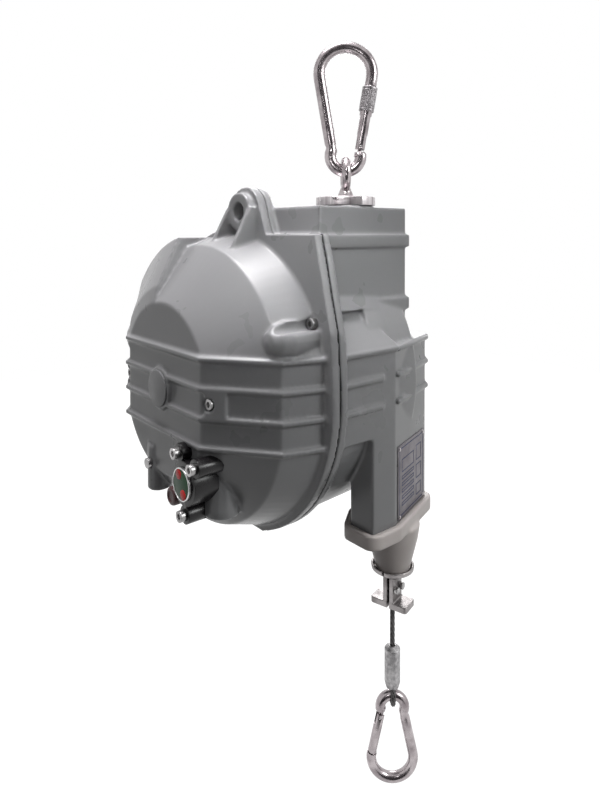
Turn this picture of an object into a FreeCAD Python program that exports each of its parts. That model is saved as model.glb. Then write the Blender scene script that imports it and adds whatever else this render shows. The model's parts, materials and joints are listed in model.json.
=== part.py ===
import FreeCAD, Part
import math
import os
import re

import Sketcher

Vector = FreeCAD.Vector
Rotation = FreeCAD.Rotation

# Driving sizes in millimetres and degrees: name, value, meaning.
# Housing places are measured from the drum axis at the seam: X to the rope side, Y to the rear, Z up.
SIZES = [
    ("eye_x", 86, "swivel axis, from the drum axis to the rope side"),
    ("eye_y", 69, "swivel axis, from the seam to the rear"),
    ("tower_top", 172, "top of the hanging tower above the drum axis"),
    ("rope_x", 120, "rope axis, from the drum axis"),
    ("rope_y", 102, "rope axis, from the seam to the rear"),
    ("rope_radius", 2.5, "wire rope"),
    ("flange_radius", 152, "round seam flange"),
    ("front_flange", 9, "thickness of the front seam flange"),
    ("rear_flange", 8, "thickness of the rear seam flange"),
    ("gasket_gap", 1, "thickness of the seam gasket"),
    ("wall_radius", 146, "casting beside the seam flange"),
    ("belt_radius", 135, "crease between wall and cone"),
    ("belt_depth", 47, "depth of that crease in front of the seam"),
    ("disc_radius", 81, "flat disc on the front"),
    ("cover_depth", 89.6, "front disc in front of the seam"),
    ("wall", 9, "casting wall"),
    ("band_half", 38.5, "half height of the ribbed band with flat sides"),
    ("rib_count", 4, "ribs round the band"),
    ("rib_width", 4.5, "width of a rib"),
    ("rib_proud", 3.5, "height of a rib over the wall"),
    ("cap_radius", 17.5, "round cap over the shaft end"),
    ("fairing_proud", 16, "raised fairing over the upper left of the cone"),
    ("fairing_belt", 57, "crease of the fairing in front of the seam"),
    ("fairing_foot_z", 45, "lower end of the fairing's slanted side"),
    ("fairing_start", 101, "fairing edge, degrees from the rope side"),
    ("fairing_sweep", 58, "angle the fairing spans"),
    ("lug_x", 21, "safety lug bore, from the drum axis"),
    ("lug_z", 168, "safety lug bore above the drum axis"),
    ("lug_radius", 25, "outside of the safety lug"),
    ("lug_bore", 9, "radius of the safety lug bore"),
    ("lug_front", 17, "lug boss in front of the seam"),
    ("shoulder_top", 146, "top edge of the seam shoulder"),
    ("shoulder_right", 127.8, "upper corner of the seam shoulder"),
    ("screw_x", 128, "upper seam screw, from the drum axis"),
    ("screw_z", 68, "upper seam screw above the drum axis"),
    ("screw_radius", 3, "seam and pad screws"),
    ("screw_head", 5, "radius of a socket head"),
    ("head_height", 6, "height of a socket head"),
    ("rear_depth", 150, "rear of the housing behind the seam"),
    ("rear_belt", 118, "depth of the rear crease"),
    ("rear_belt_radius", 137, "radius of the rear crease"),
    ("rear_disc", 104, "flat disc on the rear"),
    ("block_side", 145, "flat side of the rear block"),
    ("block_top", 70, "top of the rear side block"),
    ("block_bottom", -42, "underside of the rear side block"),
    ("block_corner", 77, "where the slanted face starts, behind the seam"),
    ("slant_x", 119, "rear end of the slanted face, from the drum axis"),
    ("slant_y", 154, "rear end of the slanted face, behind the seam"),
    ("chute_front", 47, "front face of the rope chute, behind the seam"),
    ("chute_left", 98, "inner side of the rope chute"),
    ("chute_bottom", -131, "lower end of the rope chute"),
    ("chute_bore", 13, "radius of the rope passage"),
    ("tower_side", 115, "side face of the tower"),
    ("tower_width", 120, "tower from side to side"),
    ("tower_rear", 127, "rear face of the tower"),
    ("tower_rim", 6, "rim round the tray on the tower"),
    ("tray_depth", 5, "depth of the tray"),
    ("deck", 14, "deck of the tower"),
    ("tower_band_top", 139, "middle of the upper tower band"),
    ("tower_band_low", 75.5, "middle of the lower tower band"),
    ("tower_band", 12, "height of a tower band"),
    ("tower_band_proud", 3, "tower band over the wall"),
    ("plate_radius", 29.5, "round plate under the eye"),
    ("plate_bottom", 2, "plate above the tower top"),
    ("plate_height", 8.5, "thickness of that plate"),
    ("plate_flat", 26, "half distance over the plate's two flats"),
    ("eye_turn", 50.1, "turn of the eye and hooks about the vertical"),
    ("eye_top", 52, "top of the eye above the tower"),
    ("eye_rod", 4.5, "radius of the eye's rod"),
    ("eye_ring", 13.5, "radius of the eye's centre line"),
    ("shank", 9, "radius of the eye's shank"),
    ("running", 0.05, "radial clearance of a running fit"),
    ("seat_gap", 0.3, "gap between parts that turn beside each other"),
    ("top_rod", 6, "radius of the top hook's rod"),
    ("top_height", 136, "top hook from end to end"),
    ("top_wide", 26.5, "wide end of the top hook, centre line"),
    ("top_narrow", 12.5, "narrow end of the top hook, centre line"),
    ("top_gate_low", 25, "gate pin above the narrow centre line end"),
    ("top_gate_high", 85, "gate tip above the narrow centre line end"),
    ("sleeve_length", 25, "screw sleeve"),
    ("sleeve_radius", 7.6, "outside of the screw sleeve"),
    ("low_rod", 5, "radius of the bottom hook's rod"),
    ("low_height", 94, "bottom hook from end to end"),
    ("low_wide", 21, "wide end of the bottom hook, centre line"),
    ("low_narrow", 9.5, "narrow end of the bottom hook, centre line"),
    ("low_gate_low", 21, "gate pin above the narrow centre line end"),
    ("low_gate_high", 58, "gate tip above the narrow centre line end"),
    ("bumper_proud", 6.5, "funnel flange over the chute"),
    ("bumper_flange", 12, "height of the funnel flange"),
    ("bumper_end", -187, "lower end of the funnel"),
    ("bumper_end_radius", 17, "lower end of the funnel"),
    ("bumper_neck", 27, "upper end of the funnel's cone"),
    ("clamp_cup", 21.5, "radius of the clamp's cup"),
    ("clamp_top", -184, "top of the clamp's cup"),
    ("clamp_bottom", -225, "lower end of the clamp"),
    ("clamp_slit", 1, "half gap between the clamp halves"),
    ("clamp_turn", 35, "turn of the clamp about the rope"),
    ("ferrule_top", -270, "upper end of the ferrule"),
    ("ferrule_bottom", -309, "lower end of the ferrule"),
    ("ferrule_radius", 7.8, "radius of the ferrule"),
    ("loop_radius", 8, "rope loop, centre line"),
    ("shaft_radius", 15, "main shaft"),
    ("bush_radius", 20, "outside of the shaft bushes"),
    ("bush_length", 14, "length of a shaft bush"),
    ("hub_radius", 27, "bearing bosses in the housing"),
    ("barrel_radius", 116, "spring barrel of the drum"),
    ("barrel_front", -44, "open front of the spring barrel"),
    ("barrel_back", 28, "back of the spring barrel"),
    ("drum_wall", 4, "wall of the drum"),
    ("cone_small", 90, "small end of the rope cone"),
    ("cone_start", 32, "small end of the rope cone, behind the seam"),
    ("drum_back", 111, "rear flange of the drum, behind the seam"),
    ("drum_flange", 124, "radius of the drum's rear flange"),
    ("drum_hub", 30, "hub of the drum"),
    ("bearing_radius", 21, "outside of the drum bearings"),
    ("bearing_width", 12, "width of a drum bearing"),
    ("spring_turns", 7, "turns of the drum spring"),
    ("spring_strip", 2.4, "thickness of the spring strip"),
    ("spring_inner", 15.3, "inner turn of the spring"),
    ("spring_outer", 109.4, "outer turn of the spring"),
    ("wheel_radius", 60, "pitch radius of the worm wheel"),
    ("wheel_teeth", 48, "teeth of the worm wheel"),
    ("wheel_width", 12, "width of the worm wheel"),
    ("worm_y", -59, "worm and wheel middle plane, from the seam"),
    ("worm_radius", 9, "pitch radius of the worm"),
    ("worm_length", 34, "threaded length of the worm"),
    ("worm_shank", 5, "radius of the worm's shank"),
    ("worm_bottom", -104, "lower end of the worm's hexagon"),
    ("fairing_foot", 16, "foot radius of the worm fairing"),
    ("fairing_top", -58, "top of the worm fairing"),
    ("lock_x", 58, "dial plate of the drum lock, from the drum axis"),
    ("lock_z", -71, "dial plate below the drum axis"),
    ("lock_face", -93, "face of the lock boss, from the seam"),
    ("lock_radius", 14.5, "radius of the dial plate"),
    ("lock_plate_height", 3, "thickness of the dial plate"),
    ("lock_ring_height", 6, "thickness of the lobed ring behind the dial plate"),
    ("lock_skirt", 18, "depth of the ring's skirt over the lock boss"),
    ("bottom_flat", 9, "flat cut under both castings"),
    ("knob_radius", 8.5, "knob of the drum lock"),
    ("knob_height", 10, "height of the knob"),
    ("knob_base", -88, "underside of the knob, from the seam"),
    ("knob_gap", 1.5, "gap between the drum lock's pin and the spring cover"),
    ("cover_plate", 2.5, "thickness of the spring cover"),
    ("chute_chamfer", 18, "chamfer at the inner front corner of the rope chute"),
    ("bumper_round", 13, "rounded corners of the funnel flange"),
    ("stub_x", -21, "cast stub, from the drum axis"),
    ("stub_y", -82, "cast stub, from the seam"),
    ("stub_bottom", -103, "lower end of the cast stub"),
    ("stub_radius", 11, "radius of the cast stub"),
    ("label_width", 68, "type plate, along the slanted face"),
    ("label_top", -57, "top of the type plate"),
    ("label_height", 71, "height of the type plate"),
    ("label_height_off", 1, "thickness of the type plate"),
]

doc = FreeCAD.newDocument("tool_balancer")
sheet = doc.addObject("Spreadsheet::Sheet", "Sizes")
for row, (alias, number, meaning) in enumerate(SIZES, start=1):
    sheet.set(f"A{row}", alias)
    sheet.set(f"B{row}", str(number))
    sheet.set(f"C{row}", meaning)
    sheet.setAlias(f"B{row}", alias)
doc.recompute()

NAMES = {alias for alias, number, meaning in SIZES}
ORIGIN = ("eye_x", "eye_y", "tower_top")
PIECES = []


def bound(text):
    """Turn an expression on size names into one that the document reads from the sheet."""
    return re.sub(r"[a-z_]+\w*", lambda word: f"Sizes.{word[0]}" if word[0] in NAMES else word[0], text)


def read(name):
    """One size from the sheet, as a number."""
    return float(sheet.get(name))


class Piece:
    """One physical piece: a PartDesign body with sketches whose sizes hang on the sheet."""

    def __init__(self, label):
        self.body = doc.addObject("PartDesign::Body", label)
        self.body.Label = label
        PIECES.append(self.body)

    def origin_plane(self, role):
        return next(item for item in self.body.Origin.OriginFeatures if item.Role == role)

    def sketch(self, name, plane="XY_Plane", shift=("0", "0", "0")):
        """A sketch on an origin plane; shift is along its own right, up and normal."""
        drawing = self.body.newObject("Sketcher::SketchObject", name)
        drawing.AttachmentSupport = [(self.origin_plane(plane), "")]
        drawing.MapMode = "FlatFace"
        for axis, amount in zip("xyz", shift):
            drawing.setExpression(f"AttachmentOffset.Base.{axis}", bound(amount))
        return drawing

    def outline(self, drawing, corners):
        """A closed outline of straight lines, every corner placed by two expressions."""
        count = len(corners)
        start = drawing.GeometryCount
        spots = [
            Vector(50 * math.cos(math.tau * step / count), 50 * math.sin(math.tau * step / count), 0)
            for step in range(count)
        ]
        for step in range(count):
            drawing.addGeometry(Part.LineSegment(spots[step], spots[(step + 1) % count]))
        for step in range(count):
            line = start + step
            following = start + (step + 1) % count
            drawing.addConstraint(Sketcher.Constraint("Coincident", line, 2, following, 1))
        for step, (right, up) in enumerate(corners):
            line = start + step
            for kind, text, value in (("DistanceX", right, spots[step].x), ("DistanceY", up, spots[step].y)):
                index = drawing.addConstraint(Sketcher.Constraint(kind, -1, 1, line, 1, value))
                drawing.setExpression(f"Constraints[{index}]", bound(text))

    def circle(self, drawing, right, up, radius):
        """A circle whose centre and radius hang on expressions."""
        index = drawing.addGeometry(Part.Circle(Vector(5, 5, 0), Vector(0, 0, 1), 4))
        for kind, text in (("DistanceX", right), ("DistanceY", up)):
            number = drawing.addConstraint(Sketcher.Constraint(kind, -1, 1, index, 3, 5.0))
            drawing.setExpression(f"Constraints[{number}]", bound(text))
        number = drawing.addConstraint(Sketcher.Constraint("Radius", index, 4.0))
        drawing.setExpression(f"Constraints[{number}]", bound(radius))

    def feature(self, kind, drawing, name):
        item = self.body.newObject(f"PartDesign::{kind}", name)
        item.Profile = (drawing, [""])
        drawing.Visibility = False
        return item

    def extrude(self, kind, drawing, name, length, both=False, back=False):
        """A Pad or a Pocket of one sketch."""
        item = self.feature(kind, drawing, name)
        item.SideType = "Symmetric" if both else "One side"
        item.Reversed = back
        item.setExpression("Length", bound(length))
        return item

    def pad(self, drawing, name, length, both=False, back=False):
        return self.extrude("Pad", drawing, name, length, both, back)

    def pocket(self, drawing, name, length, both=False, back=False):
        """A cut, checked to take material away."""
        doc.recompute()
        before = self.body.Tip.Shape.Volume
        item = self.extrude("Pocket", drawing, name, length, both, back)
        doc.recompute()
        if item.Shape.Volume >= before - 0.01:
            raise RuntimeError(f"{self.body.Label}: {name} cuts nothing")
        return item

    def turn(self, kind, drawing, name, angle="360", axis="V_Axis", back=False):
        """A Revolution or a Groove about an axis of its own sketch."""
        item = self.feature(kind, drawing, name)
        item.ReferenceAxis = (drawing, [axis])
        item.Reversed = back
        item.setExpression("Angle", bound(angle))
        return item

    def mirror(self, features, name, plane="YZ_Plane"):
        item = self.body.newObject("PartDesign::Mirrored", name)
        item.Originals = features
        item.MirrorPlane = (self.origin_plane(plane), [""])
        self.body.Tip = item
        return item

    def repeat(self, features, name, drawing, length, count):
        """Copies along the sketch's normal."""
        item = self.body.newObject("PartDesign::LinearPattern", name)
        item.Originals = features
        item.Direction = (drawing, ["N_Axis"])
        item.setExpression("Length", bound(length))
        item.setExpression("Occurrences", bound(count))
        self.body.Tip = item
        return item

    def around(self, features, name, drawing, count, axis="N_Axis"):
        """Copies turned about an axis of the sketch."""
        item = self.body.newObject("PartDesign::PolarPattern", name)
        item.Originals = features
        item.Axis = (drawing, [axis])
        item.Angle = 360
        item.setExpression("Occurrences", bound(count))
        self.body.Tip = item
        return item

    def round_edges(self, name, radius, wanted):
        """Fillet the edges that the test picks by their middle point and direction."""
        doc.recompute()
        base = self.body.Tip
        picked = []
        for number, edge in enumerate(base.Shape.Edges, start=1):
            middle = edge.valueAt((edge.FirstParameter + edge.LastParameter) / 2)
            run = edge.lastVertex().Point - edge.firstVertex().Point
            if wanted(middle, run):
                picked.append(f"Edge{number}")
        if not picked:
            raise RuntimeError(f"{self.body.Label}: {name} finds no edge")
        item = self.body.newObject("PartDesign::Fillet", name)
        item.Base = (base, picked)
        item.setExpression("Radius", bound(radius))
        return item

    def place(self, right="0", back="0", up="0"):
        """Stand the body at a place of the housing, counted from the swivel axis on the tower top."""
        for axis, amount, zero in zip("xyz", (right, back, up), ORIGIN):
            self.body.setExpression(f"Placement.Base.{axis}", bound(f"{amount} - {zero}"))


def shaped(label, shape, spot=(0, 0, 0), turn=0.0):
    """A piece bent or wound by Part's own functions, put at a place of the housing."""
    item = doc.addObject("Part::Feature", label)
    item.Label = label
    item.Shape = shape
    home = Vector(*spot) - Vector(*(read(name) for name in ORIGIN))
    item.Placement = FreeCAD.Placement(home, Rotation(Vector(0, 0, 1), turn))
    PIECES.append(item)
    return item


FLAT_WALL = "sqrt(wall_radius^2 - band_half^2)"
FLAT_BELT = "sqrt(belt_radius^2 - band_half^2)"
FLAT_DISC = "sqrt(disc_radius^2 - band_half^2)"
RIB_STEP = "2 * band_half / (rib_count - 1)"
PAD_SCREW_X = "78"
PAD_SEAT = "cover_depth - 9"
LOCK_EARS = [
    ("top", "lock_x - 9", "lock_z + 25"),
    ("side", "lock_x + 19", "lock_z + 18.5"),
    ("low", "lock_x + 2", "lock_z - 26.5"),
]
KNOB_X = "lock_x - 26"
KNOB_Z = "lock_z - 20"
WORM_X = "wheel_radius + worm_radius"


def seam_shoulder(piece, drawing):
    """Outline of the seam plate that covers the tower: flat top, sloped edge down to the flange."""
    piece.outline(drawing, [
        ("lug_x", "shoulder_top - 40"),
        ("lug_x", "shoulder_top"),
        ("shoulder_right", "shoulder_top"),
        ("flange_radius - 3.5", "60"),
        ("flange_radius", "12"),
        ("flange_radius - 40", "12"),
    ])


def bottom_flat(piece, drawing):
    """Outline of the strip that is cut away under the castings."""
    piece.outline(drawing, [
        ("-flange_radius * 0.6", "-flange_radius - 2"),
        ("flange_radius * 0.6", "-flange_radius - 2"),
        ("flange_radius * 0.6", "bottom_flat - flange_radius"),
        ("-flange_radius * 0.6", "bottom_flat - flange_radius"),
    ])


def lug_plate(piece, drawing):
    """Outline of the lug's web: sides tangent to the round end, flaring down into the casting."""
    piece.outline(drawing, [
        ("lug_x - lug_radius * 1.7", "lug_z - lug_radius * 1.6"),
        ("lug_x - lug_radius * 0.92", "lug_z + lug_radius * 0.39"),
        ("lug_x + lug_radius * 0.92", "lug_z + lug_radius * 0.39"),
        ("lug_x + lug_radius * 1.7", "lug_z - lug_radius * 1.6"),
    ])


def front_cover():
    """Front casting: disc, cone and wall of one revolve, flat-sided ribbed band, lug and bosses."""
    piece = Piece("front_cover")
    profile = piece.sketch("cover_profile")
    piece.outline(profile, [
        ("0", "-cover_depth"),
        ("disc_radius", "-cover_depth"),
        ("belt_radius", "-belt_depth"),
        ("wall_radius", "-front_flange"),
        ("flange_radius", "-front_flange"),
        ("flange_radius", "0"),
        ("0", "0"),
    ])
    piece.turn("Revolution", profile, "cover_shell")

    sliver = piece.sketch("flat_side")
    piece.outline(sliver, [
        (FLAT_WALL, "-front_flange"),
        (FLAT_BELT, "-belt_depth"),
        (FLAT_DISC, "-cover_depth"),
        (FLAT_DISC, "-cover_depth - 10"),
        ("flange_radius + 10", "-cover_depth - 10"),
        ("flange_radius + 10", "-front_flange"),
    ])
    flat = piece.pocket(sliver, "flat_side_cut", "2 * band_half", both=True)
    piece.mirror([flat], "flat_side_pair")

    rib = piece.sketch("rib_outline", shift=("0", "0", "-band_half"))
    half = [
        (f"{FLAT_WALL} + rib_proud", "-front_flange / 2"),
        (f"{FLAT_WALL} + rib_proud", "-front_flange"),
        (f"{FLAT_BELT} + rib_proud", "-belt_depth - rib_proud * 0.3"),
        (f"{FLAT_DISC} + rib_proud * 0.5", "-cover_depth - rib_proud"),
    ]
    piece.outline(rib, half + [(f"-({right})", up) for right, up in reversed(half)])
    ribs = piece.pad(rib, "rib", "rib_width", both=True)
    piece.repeat([ribs], "ribs", rib, "2 * band_half", "rib_count")

    pad_near, pad_far = 0.06, 0.34
    pad = piece.sketch("screw_pad_outline")
    chamfer = [
        (f"{FLAT_DISC} + ({FLAT_BELT} - {FLAT_DISC}) * {share}", f"-cover_depth + (cover_depth - belt_depth) * {share}")
        for share in (pad_near, pad_far)
    ]
    piece.outline(pad, [
        (f"{chamfer[0][0]} + rib_proud * 0.59", f"{chamfer[0][1]} - rib_proud * 0.8"),
        (f"{chamfer[1][0]} + rib_proud * 0.59", f"{chamfer[1][1]} - rib_proud * 0.8"),
        (f"{chamfer[1][0]} - 4", f"{chamfer[1][1]} + 4"),
        (f"{chamfer[0][0]} - 4", f"{chamfer[0][1]} + 4"),
    ])
    screw_pad = piece.pad(pad, "screw_pad", RIB_STEP, both=True)
    piece.mirror([screw_pad], "screw_pads")

    cap = piece.sketch("cap_boss_outline", "XZ_Plane", ("0", "0", "cover_depth - 2"))
    piece.circle(cap, "0", "0", "cap_radius + 2.5")
    piece.pad(cap, "cap_boss", "2 + rib_proud + 0.5")

    bulge = piece.sketch("fairing_profile", "YZ_Plane")
    lean = Rotation(Vector(1, 0, 0), 90 - read("fairing_start"))
    bulge.AttachmentOffset = FreeCAD.Placement(Vector(0, 0, 0), lean)
    piece.outline(bulge, [
        ("-cover_depth", "disc_radius - 20"),
        ("-cover_depth", "disc_radius"),
        ("-cover_depth + fairing_proud * 0.3", "disc_radius + fairing_proud"),
        ("-fairing_belt", "wall_radius - 1"),
        ("-front_flange", "wall_radius - 1"),
        ("-front_flange", "disc_radius"),
    ])
    piece.turn("Revolution", bulge, "fairing", "fairing_sweep", "H_Axis", back=True)
    trim = piece.sketch("fairing_side_outline", shift=("0", "0", "fairing_foot_z"))
    piece.outline(trim, [
        ("-disc_radius + 1", "-fairing_belt - 20"),
        ("-wall_radius + 6", "-fairing_belt + 17.3"),
        ("-flange_radius - 13", "-fairing_belt + 17.3"),
        ("-flange_radius - 13", "-cover_depth - 12"),
        ("-disc_radius + 1", "-cover_depth - 12"),
    ])
    piece.pocket(trim, "fairing_side", "wall_radius", back=True)

    shoulder = piece.sketch("shoulder_outline", "XZ_Plane")
    seam_shoulder(piece, shoulder)
    piece.pad(shoulder, "shoulder", "front_flange")

    web = piece.sketch("lug_web_outline", "XZ_Plane")
    lug_plate(piece, web)
    piece.pad(web, "lug_web", "front_flange")
    boss = piece.sketch("lug_boss_outline", "XZ_Plane")
    piece.circle(boss, "lug_x", "lug_z", "lug_radius")
    piece.pad(boss, "lug_boss", "front_flange")
    ring = piece.sketch("lug_ring_outline", "XZ_Plane")
    piece.circle(ring, "lug_x", "lug_z", "lug_radius - 6")
    piece.pad(ring, "lug_ring", "lug_front")
    gusset = piece.sketch("gusset_outline", "YZ_Plane", ("0", "0", "lug_x - lug_radius + 6"))
    piece.outline(gusset, [
        ("-front_flange / 2", "lug_z + 4"),
        ("-lug_front", "lug_z + 4"),
        ("-lug_front - 18", "lug_z - 29"),
        ("-lug_front - 22", "lug_z - 40"),
        ("-front_flange / 2", "lug_z - 40"),
    ])
    gussets = piece.pad(gusset, "gusset", "5", both=True)
    piece.repeat([gussets], "gussets", gusset, "2 * lug_radius - 12", "2")

    swell = piece.sketch("screw_boss_profile", shift=("screw_x - 8", "0", "screw_z - 13"))
    piece.outline(swell, [
        ("0", "0"),
        ("17", "0"),
        ("17", "10 - belt_depth"),
        ("14", "-belt_depth"),
        ("8", "-belt_depth - 7"),
        ("0", "-belt_depth - 9"),
    ])
    screw_boss = piece.turn("Revolution", swell, "screw_boss")
    piece.mirror([screw_boss], "screw_bosses")
    channel = piece.sketch("screw_channel_outline", "XZ_Plane", ("0", "0", "front_flange"))
    piece.outline(channel, [
        ("screw_x - 6", "screw_z - 5"),
        ("screw_x - 3", "screw_z + 6.5"),
        ("screw_x + 30", "screw_z + 11"),
        ("screw_x + 30", "screw_z - 5"),
    ])
    channels = piece.pocket(channel, "screw_channel", "cover_depth", back=True)
    piece.mirror([channels], "screw_channels")

    seat = piece.sketch("screw_seat_outline", "XZ_Plane", ("0", "0", "front_flange"))
    for side in ("", "-"):
        piece.circle(seat, f"{side}screw_x", "screw_z", "screw_head + 0.6")
    piece.pocket(seat, "screw_seats", "cover_depth", back=True)

    lock = piece.sketch("lock_boss_outline", "XZ_Plane", ("0", "0", "belt_depth"))
    piece.circle(lock, "lock_x", "lock_z", "lock_radius + 2")
    piece.pad(lock, "lock_boss", "-lock_face - belt_depth")
    for name, right, up in LOCK_EARS:
        ear = piece.sketch(f"{name}_ear_outline", "XZ_Plane", ("0", "0", "belt_depth"))
        piece.circle(ear, right, up, "screw_head + 1")
        piece.pad(ear, f"{name}_ear", "-lock_face - belt_depth")
    knob_boss = piece.sketch("knob_boss_outline", "XZ_Plane", ("0", "0", "belt_depth"))
    piece.circle(knob_boss, KNOB_X, KNOB_Z, "knob_radius - 1")
    piece.pad(knob_boss, "knob_boss", "-knob_base - seat_gap - belt_depth")
    foot = piece.sketch("worm_fairing_profile", "XZ_Plane", (WORM_X, "0", "8 - worm_y"))
    piece.outline(foot, [
        ("0", "worm_bottom + 2"),
        ("fairing_foot", "worm_bottom + 2"),
        ("fairing_foot", "worm_bottom + 8"),
        ("6", "fairing_top"),
        ("0", "fairing_top"),
    ])
    piece.turn("Revolution", foot, "worm_fairing")
    stub = piece.sketch("stub_outline", shift=("0", "0", "stub_bottom"))
    piece.circle(stub, "stub_x", "stub_y", "stub_radius")
    piece.pad(stub, "stub", "-stub_bottom - 60")

    flat = piece.sketch("bottom_flat_outline", "XZ_Plane")
    bottom_flat(piece, flat)
    piece.pocket(flat, "bottom_flat_cut", "belt_depth", back=True)

    hollow = piece.sketch("cavity_profile")
    piece.outline(hollow, [
        ("0", "-cover_depth + wall"),
        (f"{FLAT_DISC} - wall * 0.4", "-cover_depth + wall"),
        (f"{FLAT_BELT} - wall * 0.9", "-belt_depth + wall * 0.2"),
        (f"{FLAT_WALL} - wall", "0"),
        ("0", "0"),
    ])
    piece.turn("Groove", hollow, "cavity")
    hub = piece.sketch("front_hub_outline", "XZ_Plane", ("0", "0", "cover_depth - wall - bush_length"))
    piece.circle(hub, "0", "0", "hub_radius")
    piece.pad(hub, "front_hub", "bush_length + 1")
    bore = piece.sketch("front_bore_outline", "XZ_Plane", ("0", "0", "cover_depth - wall - bush_length"))
    piece.circle(bore, "0", "0", "bush_radius")
    piece.pocket(bore, "front_bore", "bush_length", back=True)

    lug_hole = piece.sketch("lug_bore_outline", "XZ_Plane")
    piece.circle(lug_hole, "lug_x", "lug_z", "lug_bore")
    piece.pocket(lug_hole, "lug_bore_cut", "lug_front", back=True)
    seam_hole = piece.sketch("seam_bore_outline", "XZ_Plane")
    for side in ("", "-"):
        piece.circle(seam_hole, f"{side}screw_x", "screw_z", "screw_radius")
    piece.pocket(seam_hole, "seam_bores", "front_flange", back=True)
    for name, start, radius in (("seat", PAD_SEAT, "screw_head + 0.5"), ("bore", "belt_depth", "screw_radius")):
        pad_hole = piece.sketch(f"pad_{name}_outline", "XZ_Plane", ("0", "0", start))
        for side in ("", "-"):
            piece.circle(pad_hole, f"{side}{PAD_SCREW_X}", "0", radius)
        piece.pocket(pad_hole, f"pad_{name}s", "cover_depth", back=True)
    for name, right, up in LOCK_EARS:
        ear_hole = piece.sketch(f"{name}_ear_bore_outline", "XZ_Plane", ("0", "0", "-lock_face"))
        piece.circle(ear_hole, right, up, "screw_radius")
        piece.pocket(ear_hole, f"{name}_ear_bore", "12")
    ring_clear = piece.sketch("ring_clear_outline", "XZ_Plane", ("0", "0", "-lock_face"))
    piece.circle(ring_clear, LOCK_EARS[0][1], LOCK_EARS[0][2], "screw_head + 3")
    piece.pocket(ring_clear, "ring_clear", "cover_depth", back=True)
    knob_hole = piece.sketch("knob_bore_outline", "XZ_Plane", ("0", "0", "belt_depth"))
    piece.circle(knob_hole, KNOB_X, KNOB_Z, "screw_radius + running")
    piece.pocket(knob_hole, "knob_bore", "cover_depth", back=True)
    stub_seat = piece.sketch("stub_seat_outline", "XZ_Plane", ("0", "0", "stub_radius - stub_y - 1.5"))
    piece.circle(stub_seat, "stub_x", "stub_bottom + 26", "screw_head + 0.2")
    piece.pocket(stub_seat, "stub_seat", "stub_radius", back=True)
    worm_hole = piece.sketch("worm_bore_outline", shift=("0", "0", "worm_bottom"))
    piece.circle(worm_hole, WORM_X, "worm_y", "worm_shank + 3")
    piece.pocket(worm_hole, "worm_bore", "-worm_bottom - 40", back=True)
    piece.place()


def rear_plan(grow):
    """Plan outline of the ribbed rear: flat sides, slanted rope side, creased back."""
    return [
        (f"-({FLAT_WALL} + {grow})", "gasket_gap + rear_flange / 2"),
        (f"-({FLAT_WALL} - 4 + {grow})", "rear_belt * 0.6"),
        (f"-(rear_disc + {grow} * 0.7)", f"rear_belt + {grow} * 0.5"),
        ("-rear_disc * 0.6", f"rear_depth + {grow}"),
        (f"slant_x + {grow} * 0.3", f"slant_y + {grow}"),
        (f"block_side + {grow}", f"block_corner + {grow} * 0.2"),
        (f"block_side + {grow}", "gasket_gap + rear_flange / 2"),
    ]


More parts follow.
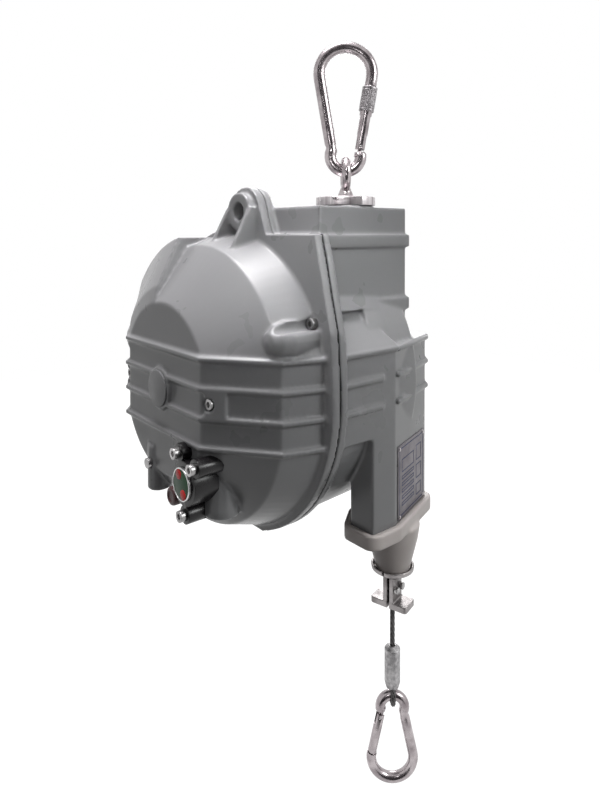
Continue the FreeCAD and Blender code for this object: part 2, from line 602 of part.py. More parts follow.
def rear_housing():
    """Rear casting: domed drum case, flat-sided belt, side block, rope chute and hanging tower."""
    piece = Piece("rear_housing")
    profile = piece.sketch("case_profile")
    piece.outline(profile, [
        ("0", "gasket_gap"),
        ("flange_radius", "gasket_gap"),
        ("flange_radius", "gasket_gap + rear_flange"),
        ("wall_radius", "gasket_gap + rear_flange"),
        ("wall_radius - 3", "rear_belt * 0.68"),
        ("rear_belt_radius", "rear_belt"),
        ("rear_disc", "rear_depth"),
        ("0", "rear_depth"),
    ])
    piece.turn("Revolution", profile, "case")

    belt = piece.sketch("belt_outline")
    piece.outline(belt, rear_plan("0"))
    piece.pad(belt, "belt", "2 * band_half", both=True)
    block = piece.sketch("block_outline", shift=("0", "0", "block_bottom"))
    piece.outline(block, [
        ("tower_side - 60", "gasket_gap"),
        ("block_side", "gasket_gap"),
        ("block_side", "block_corner"),
        ("slant_x", "slant_y"),
        ("tower_side - 60", "slant_y"),
    ])
    piece.pad(block, "block", "block_top - block_bottom")
    slope = piece.sketch("block_slope_outline", "XZ_Plane", ("0", "0", "-slant_y - 5"))
    piece.outline(slope, [
        ("tower_side + tower_band_proud", "block_top"),
        ("block_side", "band_half + rib_width"),
        ("block_side + 12", "band_half + rib_width"),
        ("block_side + 12", "block_top + 4"),
        ("tower_side + tower_band_proud", "block_top + 4"),
    ])
    piece.pocket(slope, "block_slope", "slant_y - rear_flange - gasket_gap + 5", back=True)
    fall = piece.sketch("block_fall_outline", "YZ_Plane", ("0", "0", "tower_side - 65"))
    piece.outline(fall, [
        ("block_corner - 18", "block_top + 4"),
        ("block_corner - 18", "block_top"),
        ("block_corner + 6", "band_half"),
        ("slant_y + 6", "band_half"),
        ("slant_y + 6", "block_top + 4"),
    ])
    piece.pocket(fall, "block_fall", "block_side", back=True)
    dome = piece.sketch("dome_profile")
    piece.outline(dome, [
        ("0", "block_corner - 20"),
        ("wall_radius - 3", "block_corner - 20"),
        ("wall_radius - 3", "rear_belt * 0.68"),
        ("rear_belt_radius", "rear_belt"),
        ("rear_disc", "rear_depth"),
        ("0", "rear_depth"),
    ])
    piece.turn("Revolution", dome, "dome")

    rib = piece.sketch("rear_rib_outline", shift=("0", "0", f"-band_half + {RIB_STEP}"))
    piece.outline(rib, rear_plan("rib_proud"))
    ribs = piece.pad(rib, "rear_rib", "rib_width", both=True)
    piece.repeat([ribs], "rear_ribs", rib, f"2 * band_half - {RIB_STEP}", "rib_count - 1")
    low_rib = piece.sketch("low_rib_outline", shift=("0", "0", "-band_half"))
    piece.outline(low_rib, rear_plan("rib_proud")[:4] + [("0", "rear_depth + rib_proud"), ("0", "gasket_gap + 4")])
    piece.pad(low_rib, "low_rib", "rib_width", both=True)
    gap = piece.sketch("rib_gap_outline", shift=("0", "0", "rib_width - band_half"))
    piece.outline(gap, [
        ("block_side", "block_corner - 14"),
        ("block_side + rib_proud + 2", "block_corner - 22"),
        ("block_side + rib_proud + 2", "block_corner + 8"),
        ("block_side - 0.32 * 10", "block_corner + 10"),
        ("block_side", "block_corner"),
    ])
    piece.pocket(gap, "rib_gap", f"2 * band_half - {RIB_STEP}", back=True)

    chute = piece.sketch("chute_outline", shift=("0", "0", "chute_bottom"))
    piece.outline(chute, chute_plan("0"))
    piece.pad(chute, "chute", "block_bottom - chute_bottom + 10")

    tower = piece.sketch("tower_outline", shift=("0", "0", "band_half"))
    piece.outline(tower, [
        ("tower_side - tower_width", "gasket_gap + rear_flange - 1"),
        ("tower_side", "gasket_gap + rear_flange - 1"),
        ("tower_side", "tower_rear"),
        ("tower_side - tower_width", "tower_rear"),
    ])
    piece.pad(tower, "tower", "tower_top - band_half")
    for name, level in (("upper", "tower_band_top"), ("lower", "tower_band_low")):
        band = piece.sketch(f"{name}_band_outline", shift=("0", "0", level))
        piece.outline(band, [
            ("tower_side - tower_width - tower_band_proud", "gasket_gap + rear_flange / 2"),
            ("tower_side + tower_band_proud", "gasket_gap + rear_flange / 2"),
            ("tower_side + tower_band_proud", "tower_rear + tower_band_proud"),
            ("tower_side - tower_width - tower_band_proud", "tower_rear + tower_band_proud"),
        ])
        piece.pad(band, f"{name}_band", "tower_band", both=True)

    shoulder = piece.sketch("rear_shoulder_outline", "XZ_Plane", ("0", "0", "-gasket_gap"))
    seam_shoulder(piece, shoulder)
    piece.pad(shoulder, "rear_shoulder", "rear_flange", back=True)
    web = piece.sketch("rear_web_outline", "XZ_Plane", ("0", "0", "-gasket_gap"))
    lug_plate(piece, web)
    piece.pad(web, "rear_web", "rear_flange", back=True)
    boss = piece.sketch("rear_boss_outline", "XZ_Plane", ("0", "0", "-gasket_gap"))
    piece.circle(boss, "lug_x", "lug_z", "lug_radius")
    piece.pad(boss, "rear_boss", "rear_flange", back=True)

    tray = piece.sketch("tray_outline", shift=("0", "0", "tower_top"))
    tower_inside(piece, tray, "tower_rim")
    piece.pocket(tray, "tray", "tray_depth")
    seat = piece.sketch("seat_outline", shift=("0", "0", "tower_top - tray_depth"))
    piece.circle(seat, "eye_x", "eye_y", "plate_radius - 2.5")
    piece.pad(seat, "seat", "tray_depth + plate_bottom")

    flat = piece.sketch("rear_bottom_outline", "XZ_Plane", ("0", "0", "-gasket_gap"))
    bottom_flat(piece, flat)
    piece.pocket(flat, "rear_bottom_cut", "rear_belt")

    hollow = piece.sketch("rear_cavity_profile")
    piece.outline(hollow, [
        ("0", "gasket_gap"),
        (f"{FLAT_WALL} - wall", "gasket_gap"),
        (f"{FLAT_WALL} - wall - 1", "rear_belt * 0.68"),
        ("rear_belt_radius - wall", "rear_belt - 3"),
        ("rear_disc - wall", "rear_depth - wall"),
        ("0", "rear_depth - wall"),
    ])
    piece.turn("Groove", hollow, "rear_cavity")
    shaft = piece.sketch("tower_cavity_outline", shift=("0", "0", "tower_top - deck"))
    tower_inside(piece, shaft, "wall + 2")
    piece.pocket(shaft, "tower_cavity", "tower_top - deck - block_top + 10")
    hub = piece.sketch("rear_hub_outline", "XZ_Plane", ("0", "0", "-rear_depth + wall"))
    piece.circle(hub, "0", "0", "hub_radius")
    piece.pad(hub, "rear_hub", "bush_length")
    bore = piece.sketch("rear_bore_outline", "XZ_Plane", ("0", "0", "-rear_depth + wall + bush_length"))
    piece.circle(bore, "0", "0", "bush_radius")
    piece.pocket(bore, "rear_bore", "bush_length")
    passage = piece.sketch("passage_outline", shift=("0", "0", "chute_bottom"))
    piece.circle(passage, "rope_x", "rope_y", "chute_bore")
    piece.pocket(passage, "passage", "-chute_bottom", back=True)
    eye_hole = piece.sketch("eye_bore_outline", shift=("0", "0", "tower_top + plate_bottom"))
    piece.circle(eye_hole, "eye_x", "eye_y", "shank + running")
    piece.pocket(eye_hole, "eye_bore", "deck + plate_bottom")
    lug_hole = piece.sketch("rear_lug_bore_outline", "XZ_Plane")
    piece.circle(lug_hole, "lug_x", "lug_z", "lug_bore")
    piece.pocket(lug_hole, "rear_lug_bore", "gasket_gap + rear_flange")
    seam_hole = piece.sketch("rear_seam_bore_outline", "XZ_Plane")
    for side in ("", "-"):
        piece.circle(seam_hole, f"{side}screw_x", "screw_z", "screw_radius")
    piece.pocket(seam_hole, "rear_seam_bores", "gasket_gap + rear_flange + 6")
    piece.place()


def chute_plan(grow):
    """Plan outline of the rope chute: front face, outer side, slanted face and inner side."""
    return [
        (f"chute_left - {grow}", f"chute_front + chute_chamfer * 1.4 - {grow} * 0.5"),
        (f"chute_left + chute_chamfer - {grow} * 0.5", f"chute_front - {grow}"),
        (f"block_side + {grow}", f"chute_front - {grow}"),
        (f"block_side + {grow}", f"block_corner + {grow} * 0.17"),
        (f"slant_x + {grow} * 0.8", f"slant_y + {grow}"),
        (f"chute_left - {grow}", f"slant_y + {grow}"),
    ]


def tower_inside(piece, drawing, inset):
    """Rectangle inside the tower's walls."""
    piece.outline(drawing, [
        (f"tower_side - tower_width + {inset}", f"gasket_gap + rear_flange + {inset}"),
        (f"tower_side - {inset}", f"gasket_gap + rear_flange + {inset}"),
        (f"tower_side - {inset}", f"tower_rear - {inset}"),
        (f"tower_side - tower_width + {inset}", f"tower_rear - {inset}"),
    ])


def seam_gasket():
    """Flat seal with the outline of both flanges."""
    piece = Piece("seam_gasket")
    disc = piece.sketch("gasket_disc", "XZ_Plane")
    piece.circle(disc, "0", "0", "flange_radius - 0.4")
    piece.pad(disc, "gasket_round", "gasket_gap", back=True)
    shoulder = piece.sketch("gasket_shoulder", "XZ_Plane")
    seam_shoulder(piece, shoulder)
    piece.pad(shoulder, "gasket_flat", "gasket_gap", back=True)
    flat = piece.sketch("gasket_bottom", "XZ_Plane")
    bottom_flat(piece, flat)
    piece.pocket(flat, "gasket_bottom_cut", "gasket_gap")
    hole = piece.sketch("gasket_hole", "XZ_Plane")
    piece.circle(hole, "0", "0", f"{FLAT_WALL} - wall")
    piece.pocket(hole, "gasket_opening", "gasket_gap")
    for side in ("", "-"):
        bore = piece.sketch(f"gasket_bore{side}", "XZ_Plane")
        piece.circle(bore, f"{side}screw_x", "screw_z", "screw_radius")
        piece.pocket(bore, f"gasket_bore_cut{side}", "gasket_gap")
    piece.place()


def round_piece(label, corners, spot, plane="XZ_Plane", axis="V_Axis"):
    """A turned piece: its half section revolved about its own upright axis, then placed."""
    piece = Piece(label)
    section = piece.sketch(f"{label}_section", plane)
    piece.outline(section, corners)
    piece.turn("Revolution", section, f"{label}_turned", axis=axis)
    piece.place(*spot)
    return piece


def ring_on_shaft(label, inner, outer, start, length):
    """A ring round the drum axis from one depth over a length."""
    return round_piece(label, [
        (inner, start),
        (outer, start),
        (outer, f"{start} + {length}"),
        (inner, f"{start} + {length}"),
    ], ("0", "0", "0"), "XY_Plane")


def screws(label, spots, length, plane="XZ_Plane"):
    """Socket screws that share one node: shank, head and hexagon recess at each spot."""
    piece = Piece(label)
    for number, (right, up, seat) in enumerate(spots, start=1):
        shank = piece.sketch(f"shank_{number}", plane, ("0", "0", seat))
        piece.circle(shank, right, up, "screw_radius")
        piece.pad(shank, f"shank_pad_{number}", length, back=True)
        head = piece.sketch(f"head_{number}", plane, ("0", "0", seat))
        piece.circle(head, right, up, "screw_head")
        piece.pad(head, f"head_pad_{number}", "head_height")
        socket = piece.sketch(f"socket_{number}", plane, ("0", "0", f"{seat} + head_height"))
        corners = [
            (f"{right} + screw_head * {0.58 * math.cos(math.radians(60 * step)):.4f}",
             f"{up} + screw_head * {0.58 * math.sin(math.radians(60 * step)):.4f}")
            for step in range(6)
        ]
        piece.outline(socket, corners)
        piece.pocket(socket, f"socket_cut_{number}", "head_height * 0.6")
    piece.place()
    return piece


def fixed_fittings():
    """Screws, cap, bushes, dial plate and ring that stay with the housing."""
    seam = [(f"{side}screw_x", "screw_z", "front_flange") for side in ("", "-")]
    screws("cover_screws", seam, "front_flange + gasket_gap + rear_flange + 5")
    pads = [(f"{side}{PAD_SCREW_X}", "0", PAD_SEAT) for side in ("", "-")]
    screws("side_screws", pads, "8")
    ears = [(right, up, "lock_ring_height - lock_face") for name, right, up in LOCK_EARS]
    screws("lock_screws", ears, "lock_ring_height + 10")
    ring_on_shaft("axle_cap", "0", "cap_radius", "-cover_depth - rib_proud - 2", "1.5")
    ring_on_shaft("front_bush", "shaft_radius + running", "bush_radius", "-cover_depth + wall", "bush_length")
    ring_on_shaft("rear_bush", "shaft_radius + running", "bush_radius", "rear_depth - wall - bush_length",
                  "bush_length")
    lobes = Piece("lock_ring")
    skirt_back = "-lock_face - lock_skirt"
    disc = lobes.sketch("ring_outline", "XZ_Plane", ("0", "0", skirt_back))
    lobes.circle(disc, "lock_x", "lock_z", "lock_radius + 5")
    lobes.pad(disc, "ring_disc", "lock_ring_height + lock_skirt")
    for name, right, up in LOCK_EARS:
        lobe = lobes.sketch(f"{name}_lobe_outline", "XZ_Plane", ("0", "0", skirt_back))
        lobes.circle(lobe, right, up, "screw_head + 3")
        lobes.pad(lobe, f"{name}_lobe", "lock_ring_height + lock_skirt")
    inside = lobes.sketch("skirt_inside_outline", "XZ_Plane", ("0", "0", skirt_back))
    lobes.circle(inside, "lock_x", "lock_z", "lock_radius + 2 + running")
    lobes.pocket(inside, "skirt_inside", "lock_skirt", back=True)
    for name, right, up in LOCK_EARS:
        room = lobes.sketch(f"{name}_lobe_room", "XZ_Plane", ("0", "0", skirt_back))
        lobes.circle(room, right, up, "screw_head + 1 + running")
        lobes.pocket(room, f"{name}_lobe_inside", "lock_skirt", back=True)
        hole = lobes.sketch(f"{name}_lobe_hole", "XZ_Plane", ("0", "0", "-lock_face"))
        lobes.circle(hole, right, up, "screw_radius")
        lobes.pocket(hole, f"{name}_lobe_bore", "lock_ring_height", back=True)
    under_rib = lobes.sketch("under_rib_outline", "XZ_Plane", ("0", "0", skirt_back))
    lobes.outline(under_rib, [
        ("lock_x - 30", "-band_half - rib_width / 2 - seat_gap"),
        ("lock_x + 10", "-band_half - rib_width / 2 - seat_gap"),
        ("lock_x + 10", "-band_half + 10"),
        ("lock_x - 30", "-band_half + 10"),
    ])
    lobes.pocket(under_rib, "under_rib", "lock_skirt", back=True)
    shell = lobes.sketch("cover_side_profile")
    lobes.outline(shell, [
        ("0", "-cover_depth - seat_gap"),
        ("disc_radius", "-cover_depth - seat_gap"),
        ("belt_radius", "-belt_depth - seat_gap"),
        ("belt_radius", "0"),
        ("0", "0"),
    ])
    lobes.turn("Groove", shell, "cover_side")
    beside = lobes.sketch("fairing_room_profile", "XZ_Plane", (WORM_X, "0", "8 - worm_y"))
    lobes.outline(beside, [
        ("0", "worm_bottom"),
        ("fairing_foot + seat_gap", "worm_bottom"),
        ("fairing_foot + seat_gap", "worm_bottom + 9"),
        ("6 + seat_gap", "fairing_top + seat_gap"),
        ("0", "fairing_top + seat_gap"),
    ])
    lobes.turn("Groove", beside, "fairing_room")
    lobes.place()
    round_piece("lock_plate", [
        ("0", "-lock_ring_height - lock_plate_height"),
        ("lock_radius - 1", "-lock_ring_height - lock_plate_height"),
        ("lock_radius", "-lock_ring_height - lock_plate_height + 1"),
        ("lock_radius", "-lock_ring_height"),
        ("0", "-lock_ring_height"),
    ], ("lock_x", "lock_face", "lock_z"), "XY_Plane")
    round_piece("stub_screw", [
        ("0", "0"),
        ("screw_head", "0"),
        ("screw_head", "-4"),
        ("0", "-4"),
    ], ("stub_x", "stub_y - stub_radius + 1.5", "stub_bottom + 26"), "XY_Plane")


def suspension_plate():
    """Round steel plate with two flats on the tower's seat."""
    piece = Piece("suspension_plate")
    disc = piece.sketch("plate_disc")
    piece.circle(disc, "0", "0", "plate_radius")
    piece.circle(disc, "0", "0", "shank + running")
    piece.pad(disc, "plate_round", "plate_height")
    flat = piece.sketch("plate_flat_outline")
    for side in ("", "-"):
        piece.outline(flat, [
            ("-plate_radius", f"{side}plate_flat"),
            ("plate_radius", f"{side}plate_flat"),
            ("plate_radius", f"{side}(plate_radius + 2)"),
            ("-plate_radius", f"{side}(plate_radius + 2)"),
        ])
    piece.pocket(flat, "plate_flats", "plate_height", back=True)
    piece.place("eye_x", "eye_y", "tower_top + plate_bottom")
    turn_body(piece, "eye_turn")


def turn_body(piece, angle):
    """Turn a body about its own upright axis."""
    piece.body.Placement = FreeCAD.Placement(piece.body.Placement.Base, Rotation(Vector(0, 0, 1), read(angle)))


def rope_bumper():
    """Off-white funnel: flange with the chute's outline, cone round the rope, lip at the end."""
    piece = Piece("rope_bumper")
    flange = piece.sketch("bumper_outline", shift=("0", "0", "chute_bottom - bumper_flange"))
    piece.outline(flange, chute_plan("bumper_proud"))
    piece.pad(flange, "bumper_flange_pad", "bumper_flange + 2")
    piece.round_edges("bumper_corners", "bumper_round", lambda middle, run: abs(run.z) > 5)
    socket = piece.sketch("bumper_socket_outline", shift=("0", "0", "chute_bottom"))
    piece.outline(socket, chute_plan("0.1"))
    piece.pocket(socket, "bumper_socket", "8", back=True)
    cone = piece.sketch("bumper_cone_profile", "XZ_Plane", ("rope_x", "0", "-rope_y"))
    piece.outline(cone, [
        ("0", "chute_bottom - bumper_flange + 2"),
        ("bumper_neck", "chute_bottom - bumper_flange + 2"),
        ("bumper_neck - 2", "chute_bottom - bumper_flange - 12"),
        ("bumper_end_radius", "bumper_end"),
        ("0", "bumper_end"),
    ])
    piece.turn("Revolution", cone, "bumper_cone")
    bore = piece.sketch("bumper_bore_outline", shift=("0", "0", "bumper_end"))
    piece.circle(bore, "rope_x", "rope_y", "rope_radius + 6")
    piece.pocket(bore, "bumper_bore", "chute_bottom - bumper_end", back=True)
    piece.place()


def label_and_rivets():
    """Bare type plate and its four rivets on the slanted face of the chute."""
    run_x = "(slant_x - block_side)"
    run_y = "(slant_y - block_corner)"
    span = f"sqrt({run_x}^2 + {run_y}^2)"
    along = (f"{run_x} / {span}", f"{run_y} / {span}")

    def spot(share, off):
        """Plan point on the slanted face at a length along it and a height over it."""
        return (f"block_side + {along[0]} * ({share}) + {along[1]} * ({off})",
                f"block_corner + {along[1]} * ({share}) - {along[0]} * ({off})")

    plate = Piece("type_plate")
    drawing = plate.sketch("label_outline", shift=("0", "0", "label_top - label_height"))
    plate.outline(drawing, [
        spot("6", "0"),
        spot("6 + label_width", "0"),
        spot("6 + label_width", "label_height_off"),
        spot("6", "label_height_off"),
    ])
    plate.pad(drawing, "label_plate", "label_height")
    plate.place()

    rivets = Piece("plate_rivets")
    for number, (share, level) in enumerate(
        [("9", "label_top - 3"), ("3 + label_width", "label_top - 3"),
         ("9", "label_top - label_height + 3"), ("3 + label_width", "label_top - label_height + 3")], start=1,
    ):
        head = rivets.sketch(f"rivet_{number}", shift=("0", "0", level))
        rivets.outline(head, [
            spot(f"{share} - 1.5", "label_height_off"),
            spot(f"{share} + 1.5", "label_height_off"),
            spot(f"{share} + 0.8", "label_height_off + 1"),
            spot(f"{share} - 0.8", "label_height_off + 1"),
        ])
        rivets.pad(head, f"rivet_pad_{number}", "3", both=True)
    rivets.place()


def eye_pieces():
    """Swivel eye with its shank, nut and washer under the tower's deck."""
    ring_level = read("eye_top") - read("eye_rod") - read("eye_ring")
    ring = Part.makeTorus(read("eye_ring"), read("eye_rod"), Vector(0, 0, ring_level), Vector(1, 0, 0))
    neck_start = read("plate_bottom") + read("plate_height")
    collar = Part.makeCone(
        read("shank") - 0.5, read("eye_rod"), ring_level - read("eye_ring") - neck_start,
        Vector(0, 0, neck_start + read("seat_gap")),
    )
    washer_level = -read("deck") - read("seat_gap") - 2
    nut_height = 14
    shank = Part.makeCylinder(
        read("shank"), neck_start + read("seat_gap") - washer_level + nut_height + 3,
        Vector(0, 0, washer_level - nut_height - 3),
    )
    eye = (read("eye_x"), read("eye_y"), read("tower_top"))
    turn = read("eye_turn")
    shaped("eye_bolt", shank.fuse([collar, ring]).removeSplitter(), eye, turn)
    washer = Part.makeCylinder(read("shank") * 1.9, 2, Vector(0, 0, washer_level))
    hole = Part.makeCylinder(read("shank"), 2, Vector(0, 0, washer_level))
    shaped("eye_washer", washer.cut(hole), eye, turn)
    across = read("shank") * 1.7
    corners = [
        Vector(across * math.cos(math.radians(60 * step)), across * math.sin(math.radians(60 * step)),
               washer_level - nut_height)
        for step in range(7)
    ]
    nut = Part.Face(Part.makePolygon(corners)).extrude(Vector(0, 0, nut_height))
    core = Part.makeCylinder(read("shank"), nut_height, Vector(0, 0, washer_level - nut_height))
    shaped("eye_nut", nut.cut(core), eye, turn)


class HookLine:
    """Centre line of a pear hook in its own upright plane, narrow end at the origin."""

    def __init__(self, rod, height, wide, narrow):
        self.rod = rod
        self.wide = wide
        self.narrow = narrow
        self.low = narrow
        self.high = height - 2 * rod - wide
        self.lean = math.asin((wide - narrow) / (self.high - self.low))

    def side(self, level, sign=1):
        """Point of the straight arm at a height; sign 1 is the gate side."""
        foot_x = self.narrow * math.cos(self.lean)
        foot_z = self.low - self.narrow * math.sin(self.lean)
        return Vector(sign * (foot_x + (level - foot_z) * math.tan(self.lean)), 0, level)

    def direction(self):
        """Unit vector up along the gate side arm."""
        return Vector(math.sin(self.lean), 0, math.cos(self.lean))

    def wire(self, gate_low, gate_high):
        """Open line from the gate's pin round the narrow end, up the back and round to the nose."""
        cosine, sine = math.cos(self.lean), math.sin(self.lean)
        low_right = Vector(self.narrow * cosine, 0, self.low - self.narrow * sine)
        low_left = Vector(-low_right.x, 0, low_right.z)
        high_right = Vector(self.wide * cosine, 0, self.high - self.wide * sine)
        high_left = Vector(-high_right.x, 0, high_right.z)
        bottom = Vector(0, 0, self.low - self.narrow)
        top = Vector(0, 0, self.high + self.wide)
        edges = [
            Part.LineSegment(self.side(gate_low), low_right).toShape(),
            Part.Arc(low_right, bottom, low_left).toShape(),
            Part.LineSegment(low_left, high_left).toShape(),
            Part.Arc(high_left, top, high_right).toShape(),
            Part.LineSegment(high_right, self.side(gate_high)).toShape(),
        ]
        return Part.Wire(edges)


def snap_hook(prefix, rod_name, height, wide, narrow, gate_low, gate_high, spot, turn, flip, sleeve):
    """Snap hook: bent rod with a tang, hinged gate with fork and pin, and a screw sleeve if asked for."""
    line = HookLine(read(rod_name), read(height), read(wide), read(narrow))
    rod = line.rod
    up = line.direction()
    pin_level, tip_level = read(gate_low), read(gate_high)
    pin = line.side(pin_level)
    path = line.wire(pin_level, tip_level)
    ring = Part.Wire([Part.Circle(pin, up, rod).toShape()])
    body = path.makePipeShell([ring], True, False)
    gate_radius = rod * 0.88
    gap = read("seat_gap")
    tang = Part.makeBox(2.2 * rod, rod * 0.8, 2 * rod, Vector(-1.1 * rod, -rod * 0.4, -rod))
    tang.Placement = FreeCAD.Placement(pin, Rotation(Vector(0, 0, 1), up))
    around_pin = Part.makeCylinder(rod * 0.8, rod * 0.8, pin + Vector(0, -rod * 0.4, 0), Vector(0, 1, 0))
    foot = pin - up * rod * 1.15
    clearing = Part.makeCylinder(rod * 1.6, rod * 3, foot, up)
    round_tang = tang.common(Part.makeCylinder(rod * 0.8, rod * 2.2, pin - up * rod * 1.2, up))
    body = body.cut(clearing).fuse(around_pin.fuse(round_tang))
    bore = Part.makeCylinder(rod * 0.3, rod * 3, pin + Vector(0, -1.5 * rod, 0), Vector(0, 1, 0))
    body = body.cut(bore).removeSplitter()
    length = (line.side(tip_level) - pin).Length
    gate = Part.makeCylinder(gate_radius, length - 2 * gap + rod * 0.55, pin - up * rod * 0.55, up)
    slot_corner = Vector(-2 * rod, -rod * 0.4 - gap, -rod * 0.95)
    slot = Part.makeBox(4 * rod, rod * 0.8 + 2 * gap, rod * 2.8, slot_corner)
    slot.Placement = FreeCAD.Placement(pin, Rotation(Vector(0, 0, 1), up))
    gate = gate.cut(slot).cut(bore)
    pin_reach = gate_radius * 0.92
    pin_rod = Part.makeCylinder(rod * 0.3 - read("running"), 2 * pin_reach, pin - Vector(0, pin_reach, 0),
                                Vector(0, 1, 0))
    pieces = {"hook": body, "gate": gate, "gate_pin": pin_rod}
    if sleeve:
        start = pin + up * (length - read("sleeve_length") - 3 * gap)
        outside = Part.makeCylinder(read("sleeve_radius"), read("sleeve_length"), start, up)
        inside = Part.makeCylinder(rod + 0.2, read("sleeve_length"), start, up)
        pieces["sleeve"] = outside.cut(inside)
        collar = Part.makeCylinder(rod + 0.1, read("sleeve_length") + 4 + gap, start - up * 4, up)
        pieces["gate"] = gate.fuse(collar).removeSplitter()
    tilt = Rotation(Vector(0, 1, 0), 180) if flip else Rotation()
    for name, shape in pieces.items():
        item = shaped(f"{prefix}_{name}", shape, spot)
        item.Placement = FreeCAD.Placement(item.Placement.Base, Rotation(Vector(0, 0, 1), turn) * tilt)


def hooks():
    """Screw-lock hook in the swivel eye and plain snap hook in the rope loop."""
    turn = read("eye_turn")
    rest = read("eye_top") - 2 * read("eye_rod") - read("seat_gap") - read("top_rod")
    top_spot = (read("eye_x"), read("eye_y"), read("tower_top") + rest)
    snap_hook("top", "top_rod", "top_height", "top_wide", "top_narrow", "top_gate_low", "top_gate_high",
              top_spot, turn, False, True)
    low_level = loop_bottom() + read("seat_gap") + read("rope_radius") + read("low_rod")
    low_spot = (read("rope_x"), read("rope_y"), low_level)
    snap_hook("bottom", "low_rod", "low_height", "low_wide", "low_narrow", "low_gate_low", "low_gate_high",
              low_spot, turn, True, False)


def loop_bottom():
    """Centre line height of the rope loop's lowest point."""
    return read("ferrule_bottom") - 8 - read("loop_radius")


def rope_end():
    """Clamp halves with cup and wings, their screws, the rope below, ferrule and loop."""
    spot = (read("rope_x"), read("rope_y"), 0)
    turn = read("eye_turn")
    rope = read("rope_radius")
    top, low = read("clamp_top"), read("clamp_bottom")
    cup = read("clamp_cup")
    end = read("bumper_end_radius")
    neck = 10.0
    cup_floor = read("bumper_end") - read("seat_gap")
    section = [
        Vector(0, 0, cup_floor), Vector(end + 1.2, 0, cup_floor), Vector(end + 2.4, 0, top),
        Vector(cup, 0, top), Vector(cup - 0.6, 0, cup_floor - 1), Vector(neck, 0, cup_floor - 8),
        Vector(0, 0, cup_floor - 8), Vector(0, 0, cup_floor),
    ]
    bell = Part.Face(Part.makePolygon(section)).revolve(Vector(0, 0, 0), Vector(0, 0, 1), 360)
    column = Part.makeBox(11, 2 * neck, cup_floor - 4 - low, Vector(-5.5, -neck, low))
    wing = Part.makeBox(39, 2 * neck + 1, 6, Vector(-19.5, -neck - 0.5, low))
    wing = wing.fuse(column)
    wing = wing.makeFillet(3, [edge for edge in wing.Edges
                               if 5 < abs(edge.lastVertex().Z - edge.firstVertex().Z) < 7])
    whole = bell.fuse(wing)
    whole = whole.cut(Part.makeCylinder(rope, 80, Vector(0, 0, low - 5)))
    slit = read("clamp_slit")
    left = whole.common(Part.makeBox(60, 120, 90, Vector(-60 - slit, -60, low - 5)))
    right = whole.common(Part.makeBox(60, 120, 90, Vector(slit, -60, low - 5)))
    level = (cup_floor - 8 + low + 6) / 2
    screws_shape = []
    heads = []
    for across in (-5.6, 5.6):
        screws_shape.append(Part.makeCylinder(1.8, 11, Vector(-5.5, across, level), Vector(1, 0, 0)))
        heads.append(Part.makeCylinder(3.4, 4, Vector(5.5, across, level), Vector(1, 0, 0)))
    for cutter in screws_shape + heads:
        left = left.cut(cutter)
        right = right.cut(cutter)
    bolts = [shank.fuse(head) for shank, head in zip(screws_shape, heads)]
    clamp_turn = turn - read("clamp_turn")
    shaped("clamp_half_left", left.removeSplitter(), spot, clamp_turn)
    shaped("clamp_half_right", right.removeSplitter(), spot, clamp_turn)
    shaped("clamp_screws", Part.Compound(bolts), spot, clamp_turn)

    ferrule_top, ferrule_low = read("ferrule_top"), read("ferrule_bottom")
    shaped("rope_run", Part.makeCylinder(rope, -cup_floor, Vector(0, 0, cup_floor)), spot)
    shaped("rope_lower", Part.makeCylinder(rope, cup_floor - ferrule_top, Vector(0, 0, ferrule_top)), spot)
    outside = read("ferrule_radius")
    ferrule = Part.makeCylinder(outside, ferrule_top - ferrule_low - 6, Vector(0, 0, ferrule_low + 6))
    tip = Part.makeCone(outside - 1.6, outside, 6, Vector(0, 0, ferrule_low))
    cap = Part.makeCone(outside, rope + 1.2, 3, Vector(0, 0, ferrule_top))
    hole = Part.makeCylinder(rope, 4, Vector(0, 0, ferrule_top))
    shaped("ferrule", ferrule.fuse([tip, cap]).cut(hole).removeSplitter(), spot, turn)

    radius = read("loop_radius")
    centre = loop_bottom() + radius
    inlet = rope + 0.6
    left_top, right_top = Vector(0, -inlet, ferrule_low), Vector(0, inlet, ferrule_low)
    reach = math.hypot(inlet, ferrule_low - centre)
    touch = math.atan2(ferrule_low - centre, -inlet) + math.acos(radius / reach)
    left_low = Vector(0, radius * math.cos(touch), centre + radius * math.sin(touch))
    right_low = Vector(0, -left_low.y, left_low.z)
    edges = [
        Part.LineSegment(left_top, left_low).toShape(),
        Part.Arc(left_low, Vector(0, 0, centre - radius), right_low).toShape(),
        Part.LineSegment(right_low, right_top).toShape(),
    ]
    start = (left_low - left_top).normalize()
    loop = Part.Wire(edges).makePipeShell([Part.Wire([Part.Circle(left_top, start, rope).toShape()])], True, False)
    floor = Part.makeBox(60, 60, 20, Vector(-30, -30, ferrule_low))
    shaped("rope_loop", loop.cut(floor), spot, turn)


